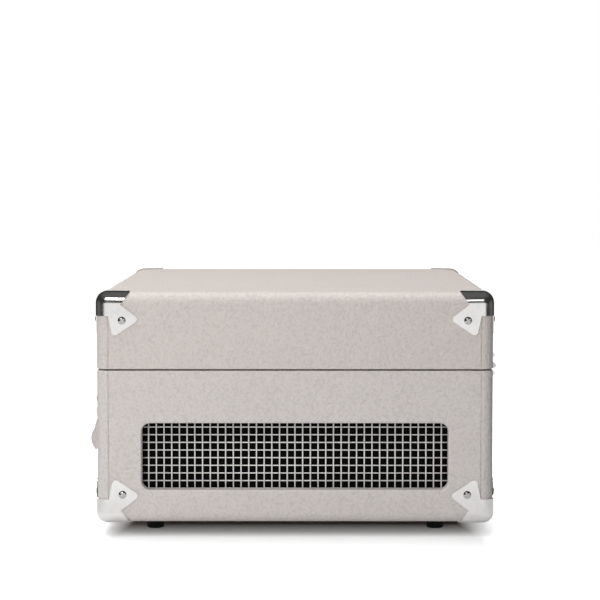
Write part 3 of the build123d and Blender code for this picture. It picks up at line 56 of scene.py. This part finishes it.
# Y limits between which a material changes: outside the panel, and inside the circuit board
PANEL_SKIN = (BACK_FACE + 0.0014, BACK_FACE + 0.0016)
CIRCUIT_FACE = (0.1120 + SHIFT_Y, 0.1123 + SHIFT_Y)

# Colour of the covering, and the lid's against the base's, as a share of each colour
COVER_COLOUR = (0.700, 0.652, 0.634)
LID_TINT = (0.985, 0.962, 0.928)
LID_TINT_EDGE = 0.0005

# Texture scales, in features per metre
PEBBLES = 700.0
FINE_PEBBLES = 1300.0
WRINKLES = 520.0
COVER_CLOUDS = 14.0
METAL_WAVES = 55.0
METAL_SCRATCHES = 900.0
METAL_BLOOM = 120.0
METAL_STAINS = 140.0
LATHE_RINGS = 900.0
PLASTIC_GRAIN = 2600.0
PLASTIC_FLOW = 35.0
RUBBER_DUST = 260.0
RUBBER_PORES = 1900.0
CLOTH_SLUBS = 300.0
BOARD_FIBRES = 500.0
BOARD_FLECKS = 420.0
PAINT_PEEL = 650.0
PAINT_CLOUDS = 9.0
WIRE_DUST = 240.0
WIRE_PORES = 1400.0
FELT_NAP = 1300.0
FELT_CLUMPS = 220.0
FELT_RINGS = 48.0
LAMP_RIBS = 1100.0
CIRCUIT_TRACKS = 230.0
CIRCUIT_PORES = 700.0
SOCKET_MARKS = 500.0
FLOOR_SPECKS = 8.0

# Depths of relief, in metres
PEBBLE_RELIEF = 0.00042
WRINKLE_RELIEF = 0.00020
FINE_RELIEF = 0.00006
WAVE_RELIEF = 0.00025
SCRATCH_RELIEF = 0.00002
RING_RELIEF = 0.00002
PLASTIC_RELIEF = 0.00003
RUBBER_RELIEF = 0.00004
BOARD_RELIEF = 0.0001
PEEL_RELIEF = 0.00004
WIRE_RELIEF = 0.00002
NAP_RELIEF = 0.0003
RIB_RELIEF = 0.00008
CIRCUIT_RELIEF = 0.00004

# Relief of a woven cloth, as a share of its thread
WEAVE_RELIEF = 0.35

# The span of a noise texture that holds most of its values
NOISE_SPAN = (0.3, 0.7)

# Light that the world gives to dull surfaces, from the left (-Y) to the right
FILL_LEFT = 0.24
FILL_RIGHT = 0.04

# Room that shows in gloss alone: the brightness of its parts
ROOM_DARK = 0.035
SIDE_WALL = 0.12
CEILING = 0.12
STRIP_LEFT = 0.06
STRIP_RIGHT = 3.0

# Where the parts of that room begin and end, on a direction's X, Y or Z from -1 to 1
BACKDROP_HEIGHT = (0.06, 0.16)
BACKDROP_WIDTH = (0.35, 0.60)
WALL_WIDTH = (0.86, 0.97)
WALL_HEIGHT = (0.1, 0.4)
CEILING_HEIGHT = (0.55, 0.95)
STRIP_LOWER_EDGE = (0.34, 0.38)
STRIP_UPPER_EDGE = (0.50, 0.54)
STRIP_AHEAD = (0.3, 0.5)
STRIP_WIDTH = (0.20, 0.30)
STRIP_TURN = (-0.07, 0.05)

# Lamps: place, target, side of the square, power in watts, and whether gloss shows them
LAMPS = {
    "key": ((1.20, -0.36, 1.05), (0.17, 0.0, 0.09), 0.4, 4.6, True),
    "side": ((0.90, -0.26, 0.20), (0.17, 0.0, 0.07), 0.5, 2.1, False),
    "top": ((0.00, -0.26, 1.30), (0.0, 0.0, 0.16), 1.1, 16.5, False),
}

# Floor
FLOOR_COLOUR = (0.68, 0.68, 0.68)
FLOOR_HALF_LENGTH = 6.0
FLOOR_HALF_WIDTH = 0.85

# What the floor adds to its own light where the camera sees it, and the distances from the
# case's ends and sides between which it comes in
FLOOR_ENDS_FROM = -0.05
FLOOR_ENDS_TO = 0.01
FLOOR_OUTER_TO = 0.25
FLOOR_SIDES_FROM = -0.02
FLOOR_SIDES_TO = 0.008
FLOOR_NEAR_LIFT = 0.35
FLOOR_OUTER_LIFT = 0.70

# What it adds where gloss or glass shows it: more far away, a band near the ends, and a
# share of both beside the case
FLOOR_FAR_FROM = -0.06
FLOOR_FAR_TO = 1.0
FLOOR_FAR_LIFT = 0.80
FLOOR_BAND_FROM = 0.11
FLOOR_BAND_TO = 0.07
FLOOR_BAND_LIFT = 0.22
FLOOR_DARK_FROM = 0.05
FLOOR_DARK_TO = 0.13
FLOOR_DARK = 0.25
FLOOR_BRIGHT_FROM = 0.7
FLOOR_BRIGHT_TO = 1.2

# Camera, found from the photograph
CAMERA_X = 1.563
CAMERA_Y = 0.0073 + SHIFT_Y
CAMERA_Z = 0.240
CAMERA_LENS = 128.35
CAMERA_SENSOR = 36.0
CAMERA_PITCH = 3.477
CAMERA_YAW = 0.162

# Wire mesh behind the windows
MESH_PITCH = 0.00508
MESH_LEVEL = 0.0530
UPRIGHT_WIRES = 41
LEVEL_WIRES = 10
UPRIGHT_WIRE_RADIUS = 0.00046
LEVEL_WIRE_RADIUS = UPRIGHT_WIRE_RADIUS * 0.9
UPRIGHT_WIRE_X = 0.16045
LEVEL_WIRE_X = 0.15960
WIRE_HALF_WIDTH = 0.107
WIRE_HALF_HEIGHT = 0.029
WIRE_SIDES = 10

# The domed end of a wire, as shares of its radius
WIRE_TIP_REACH = 0.4
WIRE_TIP_SIZE = 0.6


# Materials

class NodeBuilder:
    """Adds nodes to a tree one by one, each with its values or its links."""

    def __init__(self, tree):
        self.tree = tree

    def node(self, kind, inputs=None, **settings):
        node = self.tree.nodes.new(kind)
        for key, value in settings.items():
            setattr(node, key, value)
        for key, value in (inputs or {}).items():
            if isinstance(value, bpy.types.NodeSocket):
                self.tree.links.new(value, node.inputs[key])
            else:
                node.inputs[key].default_value = value
        return node

    def maths(self, operation, a, b=0.0):
        return self.node("ShaderNodeMath", {0: a, 1: b}, operation=operation).outputs[0]

    def span(self, value, low, high, to_low=0.0, to_high=1.0):
        """A value between two limits, taken to two others."""
        inputs = {"Value": value, "From Min": low, "From Max": high, "To Min": to_low, "To Max": to_high}
        return self.node("ShaderNodeMapRange", inputs).outputs["Result"]


class Shader(NodeBuilder):
    """A material on the Principled shader, with its textures."""

    def __init__(self, name, colour, roughness, metallic=0.0):
        self.material = bpy.data.materials.new(name)
        self.material.use_nodes = True
        self.material.diffuse_color = (*colour, 1.0)
        super().__init__(self.material.node_tree)
        self.bsdf = self.tree.nodes["Principled BSDF"]
        self.set("Roughness", roughness)
        self.set("Metallic", metallic)
        self.set("Base Color", (*colour, 1.0))
        self.place = self.node("ShaderNodeTexCoord").outputs["Object"]
        self.normal = None

    def set(self, key, value):
        self.bsdf.inputs[key].default_value = value

    def link(self, key, socket):
        self.tree.links.new(socket, self.bsdf.inputs[key])

    def moved(self, centre=(0, 0, 0), stretch=(1, 1, 1)):
        """The place in the model, from a centre, stretched along each axis."""
        offset = self.node("ShaderNodeVectorMath", {0: self.place, 1: centre}, operation="SUBTRACT")
        scaled = self.node("ShaderNodeVectorMath", {0: offset.outputs[0], 1: stretch}, operation="MULTIPLY")
        return scaled.outputs[0]

    def along(self, axis):
        """The place along one axis, in metres."""
        return self.node("ShaderNodeSeparateXYZ", {"Vector": self.place}).outputs[axis]

    def noise(self, scale, detail=3.0, place=None, rough=0.5):
        inputs = {"Vector": place or self.place, "Scale": scale, "Detail": detail, "Roughness": rough}
        return self.node("ShaderNodeTexNoise", inputs).outputs["Fac"]

    def cells(self, scale, feature="F1"):
        inputs = {"Vector": self.place, "Scale": scale}
        return self.node("ShaderNodeTexVoronoi", inputs, feature=feature).outputs["Distance"]

    def rings(self, scale, centre):
        """Round ridges about an upright axis."""
        inputs = {"Vector": self.moved(centre, (1, 1, 0)), "Scale": scale, "Distortion": 0.0}
        wave = self.node("ShaderNodeTexWave", inputs, wave_type="RINGS", rings_direction="SPHERICAL")
        return wave.outputs["Fac"]

    def mix(self, amount, colour_a, colour_b):
        """A colour between two, each given as a colour or as a socket."""
        node = self.node("ShaderNodeMix", data_type="RGBA")
        sockets = [node.inputs[0], node.inputs[6], node.inputs[7]]
        for socket, value in zip(sockets, (amount, colour_a, colour_b)):
            if isinstance(value, bpy.types.NodeSocket):
                self.tree.links.new(value, socket)
            elif isinstance(value, tuple):
                socket.default_value = (*value, 1.0)
            else:
                socket.default_value = value
        return node.outputs[2]

    def patches(self, value, limits, amount, colour, patch):
        """A colour with patches of another, which come in by an amount between two limits."""
        return self.mix(self.span(value, *limits, 0.0, amount), colour, patch)

    def bump(self, height, distance, strength=1.0):
        """Adds relief, in metres, over what relief there is."""
        inputs = {"Height": height, "Distance": distance, "Strength": strength}
        if self.normal is not None:
            inputs["Normal"] = self.normal
        self.normal = self.node("ShaderNodeBump", inputs).outputs["Normal"]
        self.link("Normal", self.normal)


def shade(colour, factor):
    return tuple(min(1.0, value * factor) for value in colour)


def tinted(colour, tint):
    return tuple(value * part for value, part in zip(colour, tint))


def leather(name, colour, grain=1.0):
    """Imitation leather: fine pebbles and wrinkles, with painted shade in the hollows between the pebbles,
    faint clouds, and a tint above the seam.
    """
    shader = Shader(name, colour, 0.55)
    pebbles = shader.cells(PEBBLES, "SMOOTH_F1")
    fine = shader.cells(FINE_PEBBLES, "F1")
    wrinkles = shader.noise(WRINKLES, 5.0)
    clouds = shader.noise(COVER_CLOUDS, 3.0)
    above_seam = shader.span(shader.along("Z"), LID_BOTTOM - LID_TINT_EDGE, LID_BOTTOM)
    covering = shader.mix(above_seam, colour, tinted(colour, LID_TINT))
    tone = shader.mix(shader.span(clouds, 0.35, 0.65, 0.10, 0.0), covering, shade(colour, 0.72))
    # Painted shade: the hollows between the pebbles are darkened in colour, as the shade that falls in
    # them.
    between = shader.patches(pebbles, (0.30, 0.70), 0.45 * grain, tone, shade(colour, 0.70))
    shader.link("Base Color", between)
    shader.link("Roughness", shader.span(wrinkles, *NOISE_SPAN, 0.44, 0.58))
    shader.bump(shader.maths("MULTIPLY", pebbles, -1.0), PEBBLE_RELIEF * grain, 0.8)
    shader.bump(wrinkles, WRINKLE_RELIEF * grain, 0.6)
    shader.bump(fine, FINE_RELIEF * grain, 0.4)
    shader.set("Specular IOR Level", 0.40)
    return shader.material


def bright_metal(name, colour, roughness, scratch=1.0):
    """Plated metal with slight waves, fine scratches and a duller bloom here and there."""
    shader = Shader(name, colour, roughness, 1.0)
    waves = shader.noise(METAL_WAVES, 2.0)
    scratches = shader.noise(METAL_SCRATCHES, 4.0, shader.moved(stretch=(1.0, 0.12, 0.12)))
    bloom = shader.noise(METAL_BLOOM, 4.0)
    shader.link("Roughness", shader.span(bloom, 0.35, 0.7, roughness * 0.8, roughness * 1.6))
    shader.link("Base Color", shader.patches(bloom, (0.4, 0.75), 0.5, colour, shade(colour, 0.82)))
    shader.bump(waves, WAVE_RELIEF, 0.25)
    shader.bump(scratches, SCRATCH_RELIEF * scratch, 0.3)
    return shader.material


def turned_metal(name, colour, roughness, centre):
    """Metal with fine rings about an upright axis, and faint stains."""
    shader = Shader(name, colour, roughness, 1.0)
    rings = shader.rings(LATHE_RINGS, centre)
    stains = shader.noise(METAL_STAINS, 4.0)
    shader.link("Roughness", shader.span(rings, 0.0, 1.0, roughness * 0.8, roughness * 1.3))
    shader.link("Base Color", shader.patches(stains, (0.5, 0.8), 0.4, colour, shade(colour, 0.7)))
    shader.bump(rings, RING_RELIEF, 0.4)
    return shader.material


def plated_wire(name, colour):
    """Bright wire, duller where dust lies."""
    shader = Shader(name, colour, 0.34, 0.35)
    dust = shader.noise(WIRE_DUST, 4.0)
    shader.link("Base Color", shader.patches(dust, (0.4, 0.75), 0.4, colour, shade(colour, 0.80)))
    shader.bump(shader.noise(WIRE_PORES, 2.0), WIRE_RELIEF, 0.3)
    return shader.material


def moulded(name, colour, roughness, relief=PLASTIC_RELIEF):
    """Moulded plastic with a fine grain and faint flow shades."""
    shader = Shader(name, colour, roughness)
    grain = shader.noise(PLASTIC_GRAIN, 2.0)
    flow = shader.noise(PLASTIC_FLOW, 2.0)
    shader.link("Base Color", shader.mix(flow, shade(colour, 0.88), shade(colour, 1.12)))
    shader.link("Roughness", shader.span(grain, *NOISE_SPAN, roughness * 0.88, roughness * 1.12))
    shader.bump(grain, relief, 0.5)
    shader.set("Specular IOR Level", 0.5)
    return shader.material


def rubber(name, colour):
    """Dull rubber with fine pores and a little dust."""
    shader = Shader(name, colour, 0.62)
    dust = shader.noise(RUBBER_DUST, 4.0)
    shader.link("Base Color", shader.patches(dust, (0.55, 0.8), 0.35, colour, (0.05, 0.048, 0.046)))
    shader.bump(shader.noise(RUBBER_PORES, 2.0), RUBBER_RELIEF, 0.5)
    shader.set("Specular IOR Level", 0.2)
    return shader.material


def cloth(name, colour, thread, axes, sheen=0.2, gloss=0.5):
    """Plain woven cloth, its threads along two axes of the model."""
    shader = Shader(name, colour, 0.9)
    waves = []
    for axis in axes:
        turns = shader.maths("MULTIPLY", shader.along(axis), math.pi / thread)
        waves.append(shader.maths("ABSOLUTE", shader.maths("SINE", turns)))
    weave = shader.maths("MULTIPLY", waves[0], waves[1])
    slubs = shader.noise(CLOTH_SLUBS, 3.0)
    threads = shader.mix(shader.span(weave, 0.0, 0.7), shade(colour, 0.55), shade(colour, 1.1))
    shader.link("Base Color", shader.patches(slubs, NOISE_SPAN, 0.25, threads, shade(colour, 0.8)))
    shader.bump(weave, thread * WEAVE_RELIEF, 0.6)
    shader.set("Specular IOR Level", gloss)
    shader.set("Sheen Weight", sheen)
    return shader.material


def wood_board(name, colour):
    """Pressed fibre board: short fibres and darker flecks."""
    shader = Shader(name, colour, 0.8)
    fibres = shader.noise(BOARD_FIBRES, 5.0, shader.moved(stretch=(0.25, 1.0, 1.0)))
    flecks = shader.span(shader.cells(BOARD_FLECKS), 0.1, 0.3, 0.4, 0.0)
    tone = shader.mix(fibres, shade(colour, 0.75), shade(colour, 1.2))
    shader.link("Base Color", shader.mix(flecks, tone, shade(colour, 0.45)))
    shader.bump(fibres, BOARD_RELIEF, 0.5)
    return shader.material


def painted(name, colour, roughness):
    """Spray paint with a faint orange peel."""
    shader = Shader(name, colour, roughness)
    peel = shader.noise(PAINT_PEEL, 2.0)
    clouds = shader.noise(PAINT_CLOUDS, 3.0)
    shader.link("Base Color", shader.mix(clouds, shade(colour, 0.96), shade(colour, 1.03)))
    shader.link("Roughness", shader.span(clouds, *NOISE_SPAN, roughness * 0.9, roughness * 1.15))
    shader.bump(peel, PEEL_RELIEF, 0.4)
    return shader.material


def felt(name, colour):
    """Felt with a matted nap and faint rings about the spindle."""
    shader = Shader(name, colour, 0.95)
    nap = shader.noise(FELT_NAP, 6.0, rough=0.7)
    clumps = shader.noise(FELT_CLUMPS, 4.0)
    shader.link("Base Color", shader.mix(clumps, shade(colour, 0.6), shade(colour, 1.6)))
    shader.bump(nap, NAP_RELIEF, 0.7)
    shader.bump(shader.rings(FELT_RINGS, SPINDLE), NAP_RELIEF, 0.35)
    shader.set("Sheen Weight", 0.35)
    return shader.material


def clear_lamp(name, colour):
    """A glossy lens with rings under its coat."""
    shader = Shader(name, colour, 0.12)
    ribs = shader.rings(LAMP_RIBS, LAMP_CENTRE)
    shader.link("Base Color", shader.mix(ribs, shade(colour, 0.6), shade(colour, 1.2)))
    shader.set("Coat Weight", 0.8)
    shader.bump(ribs, RIB_RELIEF, 0.5)
    return shader.material


def circuit(name, edge_colour, board_colour, part_colour):
    """A board with fine tracks, and darker parts that stand in front of it."""
    shader = Shader(name, board_colour, 0.4)
    tracks = shader.cells(CIRCUIT_TRACKS, "DISTANCE_TO_EDGE")
    board = shader.mix(shader.span(tracks, 0.02, 0.06), edge_colour, board_colour)
    is_part = shader.span(shader.along("Y"), *CIRCUIT_FACE, 1.0, 0.0)
    shader.link("Base Color", shader.mix(is_part, board, part_colour))
    shader.bump(shader.noise(CIRCUIT_PORES, 3.0), CIRCUIT_RELIEF, 0.4)
    return shader.material


def plated_socket(name, body_colour, dull_plating, bright_plating):
    """A dark body behind the panel, with a plated shell outside it."""
    shader = Shader(name, body_colour, 0.35)
    outside = shader.span(shader.along("Y"), *PANEL_SKIN)
    marks = shader.noise(SOCKET_MARKS, 3.0)
    shell = shader.mix(marks, dull_plating, bright_plating)
    shader.link("Metallic", outside)
    shader.link("Base Color", shader.mix(outside, body_colour, shell))
    shader.link("Roughness", shader.span(marks, *NOISE_SPAN, 0.22, 0.34))
    return shader.material


MATERIALS = {
    "covering": leather("covering", COVER_COLOUR),
    "handle_cover": leather("handle_cover", shade(COVER_COLOUR, 0.92), 0.8),
    "lining": cloth("lining", (0.52, 0.49, 0.46), 0.0008, ("X", "Y")),
    "board": wood_board("board", (0.30, 0.20, 0.12)),
    "nickel": bright_metal("nickel", (0.80, 0.785, 0.77), 0.13),
    "screw_steel": bright_metal("screw_steel", (0.52, 0.51, 0.50), 0.12, 2.0),
    "foot_rubber": rubber("foot_rubber", (0.004, 0.004, 0.004)),
    "mesh_wire": plated_wire("mesh_wire", (0.95, 0.93, 0.91)),
    "cloth": cloth("cloth", (0.004, 0.004, 0.004), 0.0007, ("Y", "Z"), 0.0, 0.05),
    "speaker_steel": painted("speaker_steel", (0.03, 0.03, 0.032), 0.4),
    "paper": cloth("paper", (0.025, 0.024, 0.023), 0.0011, ("Y", "Z"), 0.0),
    "magnet": bright_metal("magnet", (0.14, 0.14, 0.145), 0.5),
    "deck": painted("deck", (0.60, 0.56, 0.52), 0.45),
    "platter_plastic": moulded("platter_plastic", (0.018, 0.018, 0.019), 0.4),
    "mat_felt": felt("mat_felt", (0.030, 0.030, 0.032)),
    "bright_steel": turned_metal("bright_steel", (0.70, 0.70, 0.71), 0.22, SPINDLE),
    "bronze": turned_metal("bronze", (0.62, 0.42, 0.18), 0.35, SPINDLE),
    "belt_rubber": rubber("belt_rubber", (0.015, 0.015, 0.015)),
    "arm_plastic": moulded("arm_plastic", (0.030, 0.030, 0.031), 0.42),
    "arm_tube": turned_metal("arm_tube", (0.78, 0.78, 0.79), 0.30, SPINDLE),
    "cartridge": moulded("cartridge", (0.42, 0.020, 0.016), 0.25, 0.00001),
    "control": moulded("control", (0.022, 0.022, 0.022), 0.3),
    "lamp": clear_lamp("lamp", (0.55, 0.03, 0.02)),
    "panel": moulded("panel", (0.020, 0.020, 0.020), 0.5, 0.00005),
    "socket": plated_socket("socket", (0.03, 0.03, 0.03), (0.62, 0.61, 0.60), (0.78, 0.77, 0.75)),
    "circuit": circuit("circuit", (0.05, 0.30, 0.14), (0.02, 0.15, 0.08), (0.06, 0.06, 0.07)),
}


def dress_nodes():
    """Gives every CAD node the material of its slot."""
    for part in frame["record"]["subparts"]:
        node = nodes[part["node"]]
        node.data.materials.clear()
        node.data.materials.append(MATERIALS[part["material_slot"]])


dress_nodes()


# Pieces built here

def add_object(name, data):
    made = bpy.data.objects.new(name, data)
    bpy.context.scene.collection.objects.link(made)
    return made


def mesh_piece(name, build, material, body):
    """Makes a mesh with bmesh, and lets it ride on a body."""
    data = bpy.data.meshes.new(name)
    shape = bmesh.new()
    build(shape)
    shape.to_mesh(data)
    shape.free()
    data.materials.append(MATERIALS[material])
    piece = add_object(name, data)
    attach(piece, body)
    return piece


def add_wire(shape, start, end, radius):
    """A straight round wire with slightly domed ends."""
    start = Vector(start)
    end = Vector(end)
    direction = (end - start).normalized()
    side = direction.orthogonal().normalized()
    other = direction.cross(side)
    tip = direction * radius * WIRE_TIP_REACH
    ring_places = (
        (start - tip, WIRE_TIP_SIZE),
        (start, 1.0),
        (end, 1.0),
        (end + tip, WIRE_TIP_SIZE),
    )
    rings = []
    for centre, size in ring_places:
        ring = []
        for step in range(WIRE_SIDES):
            angle = 2 * math.pi * step / WIRE_SIDES
            offset = (side * math.cos(angle) + other * math.sin(angle)) * radius * size
            ring.append(shape.verts.new(centre + offset))
        rings.append(ring)
    for low, high in zip(rings, rings[1:]):
        for step in range(WIRE_SIDES):
            following = (step + 1) % WIRE_SIDES
            face = shape.faces.new((low[step], low[following], high[following], high[step]))
            face.smooth = True
    shape.faces.new(list(reversed(rings[0])))
    shape.faces.new(rings[-1])


def wire_places(count, middle):
    """The middles of evenly set wires, centred on a place."""
    return [(index - (count - 1) / 2) * MESH_PITCH + middle for index in range(count)]


def wire_grille(sign):
    """The welded mesh of one window: upright wires outside, level wires behind them."""
    upright_x = sign * UPRIGHT_WIRE_X
    level_x = sign * LEVEL_WIRE_X
    low = MESH_LEVEL - WIRE_HALF_HEIGHT
    high = MESH_LEVEL + WIRE_HALF_HEIGHT
    front = SHIFT_Y - WIRE_HALF_WIDTH
    back = SHIFT_Y + WIRE_HALF_WIDTH

    def build(shape):
        for y in wire_places(UPRIGHT_WIRES, SHIFT_Y):
            add_wire(shape, (upright_x, y, low), (upright_x, y, high), UPRIGHT_WIRE_RADIUS)
        for z in wire_places(LEVEL_WIRES, MESH_LEVEL):
            add_wire(shape, (level_x, front, z), (level_x, back, z), LEVEL_WIRE_RADIUS)
    return build


for side_name, sign in (("right", 1), ("left", -1)):
    grille = mesh_piece("wire_mesh_" + side_name, wire_grille(sign), "mesh_wire", "case")
    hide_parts("grille_" + side_name)


# Camera

def aim(thing, direction):
    thing.rotation_euler = Vector(direction).to_track_quat("-Z", "Y").to_euler()


def make_camera():
    data = bpy.data.cameras.new("camera")
    data.lens = CAMERA_LENS
    data.sensor_width = CAMERA_SENSOR
    camera = add_object("camera", data)
    camera.location = (CAMERA_X, CAMERA_Y, CAMERA_Z)
    pitch = math.radians(CAMERA_PITCH)
    yaw = math.radians(CAMERA_YAW)
    aim(camera, (-math.cos(pitch) * math.cos(yaw), -math.cos(pitch) * math.sin(yaw), -math.sin(pitch)))
    bpy.context.scene.camera = camera


# Light and floor

def make_lamp(name, place, target, size, power, in_gloss):
    """A square lamp that the camera doesn't see."""
    data = bpy.data.lights.new(name, "AREA")
    data.shape = "RECTANGLE"
    data.size = size
    data.size_y = size
    data.energy = power
    lamp = add_object(name, data)
    lamp.location = place
    lamp.visible_camera = False
    lamp.visible_glossy = in_gloss
    aim(lamp, Vector(target) - Vector(place))


def floor_material():
    """A pale floor that keeps the contact shadow and turns white to the camera away from the case."""
    shader = Shader("floor", FLOOR_COLOUR, 0.9)
    specks = shader.noise(FLOOR_SPECKS, 2.0)
    shader.link("Base Color", shader.mix(specks, shade(FLOOR_COLOUR, 0.99), shade(FLOOR_COLOUR, 1.01)))
    outside_x = shader.maths("SUBTRACT", shader.maths("ABSOLUTE", shader.along("X")), END_FACE)
    from_middle = shader.maths("ABSOLUTE", shader.maths("SUBTRACT", shader.along("Y"), SHIFT_Y))
    outside_y = shader.maths("SUBTRACT", from_middle, BACK_FACE - SHIFT_Y)
    outside = shader.maths("MAXIMUM", outside_x, outside_y)

    ends = shader.span(outside_x, FLOOR_ENDS_FROM, FLOOR_ENDS_TO, 0.0, FLOOR_NEAR_LIFT)
    beyond = shader.span(outside_x, FLOOR_ENDS_TO, FLOOR_OUTER_TO, 0.0, FLOOR_OUTER_LIFT)
    sides = shader.span(outside_y, FLOOR_SIDES_FROM, FLOOR_SIDES_TO)
    seen = shader.maths("MAXIMUM", shader.maths("ADD", ends, beyond), sides)

    far = shader.span(outside, FLOOR_FAR_FROM, FLOOR_FAR_TO, 0.0, FLOOR_FAR_LIFT)
    band = shader.span(outside_x, FLOOR_BAND_FROM, FLOOR_BAND_TO, 0.0, FLOOR_BAND_LIFT)
    beside = shader.span(outside_y, FLOOR_DARK_FROM, FLOOR_DARK_TO, 1.0, FLOOR_DARK)
    in_front = shader.span(outside_x, FLOOR_BRIGHT_FROM, FLOOR_BRIGHT_TO)
    share = shader.maths("MAXIMUM", beside, in_front)
    mirrored = shader.maths("MULTIPLY", shader.maths("MAXIMUM", far, band), share)

    path = shader.node("ShaderNodeLightPath").outputs
    to_camera = shader.maths("MULTIPLY", path["Is Camera Ray"], seen)
    by_gloss = shader.maths("MAXIMUM", path["Is Glossy Ray"], path["Is Transmission Ray"])
    lift = shader.maths("ADD", to_camera, shader.maths("MULTIPLY", by_gloss, mirrored))
    shader.set("Emission Color", (1, 1, 1, 1))
    shader.link("Emission Strength", lift)
    return shader.material


def make_floor():
    data = bpy.data.meshes.new("floor")
    shape = bmesh.new()
    corners = []
    for sx, sy in ((-1, -1), (1, -1), (1, 1), (-1, 1)):
        corners.append(shape.verts.new((sx * FLOOR_HALF_LENGTH, sy * FLOOR_HALF_WIDTH, 0.0)))
    shape.faces.new(corners)
    shape.to_mesh(data)
    shape.free()
    data.materials.append(floor_material())
    add_object("floor", data)


def make_world():
    """White where it is seen, a soft light that comes more from the left, and a dark room in the gloss."""
    world = bpy.data.worlds.new("studio")
    bpy.context.scene.world = world
    world.use_nodes = True
    world.node_tree.nodes.clear()
    sky = NodeBuilder(world.node_tree)
    path = sky.node("ShaderNodeLightPath").outputs
    direction = sky.node("ShaderNodeTexCoord").outputs["Generated"]
    way = sky.node("ShaderNodeSeparateXYZ", {0: direction}).outputs
    across = sky.maths("ABSOLUTE", way["Y"])

    def comes_in(value, limits, brightness=1.0):
        return sky.span(value, *limits, 0.0, brightness)

    def goes_out(value, limits):
        return sky.span(value, *limits, 1.0, 0.0)

    fill = sky.span(way["Y"], -1.0, 1.0, FILL_LEFT, FILL_RIGHT)
    backdrop = sky.maths("MULTIPLY", goes_out(way["Z"], BACKDROP_HEIGHT), goes_out(across, BACKDROP_WIDTH))
    walls = sky.maths("MULTIPLY", comes_in(across, WALL_WIDTH, SIDE_WALL), goes_out(way["Z"], WALL_HEIGHT))
    ceiling = sky.span(way["Z"], *CEILING_HEIGHT, ROOM_DARK, CEILING)
    strip_lower = comes_in(way["Z"], STRIP_LOWER_EDGE)
    strip_upper = goes_out(way["Z"], STRIP_UPPER_EDGE)
    strip_ahead = comes_in(way["X"], STRIP_AHEAD)
    strip_width = goes_out(across, STRIP_WIDTH)
    strip = sky.span(way["Y"], *STRIP_TURN, STRIP_LEFT, STRIP_RIGHT)
    for part in (strip_lower, strip_upper, strip_ahead, strip_width):
        strip = sky.maths("MULTIPLY", strip, part)
    room = backdrop
    for part in (walls, ceiling, strip):
        room = sky.maths("MAXIMUM", room, part)

    is_glossy = path["Is Glossy Ray"]
    in_gloss = sky.maths("MULTIPLY", is_glossy, room)
    on_dull = sky.maths("MULTIPLY", sky.maths("SUBTRACT", 1.0, is_glossy), fill)
    seen = sky.maths("MAXIMUM", path["Is Camera Ray"], path["Is Transmission Ray"])
    strength = sky.maths("MAXIMUM", seen, sky.maths("ADD", in_gloss, on_dull))
    background = sky.node("ShaderNodeBackground", {"Color": (1, 1, 1, 1), "Strength": strength})
    sky.node("ShaderNodeOutputWorld", {"Surface": background.outputs[0]})


make_camera()
make_floor()
make_world()
for lamp_name, facts in LAMPS.items():
    make_lamp(lamp_name, *facts)

bpy.context.scene.view_settings.view_transform = "Standard"
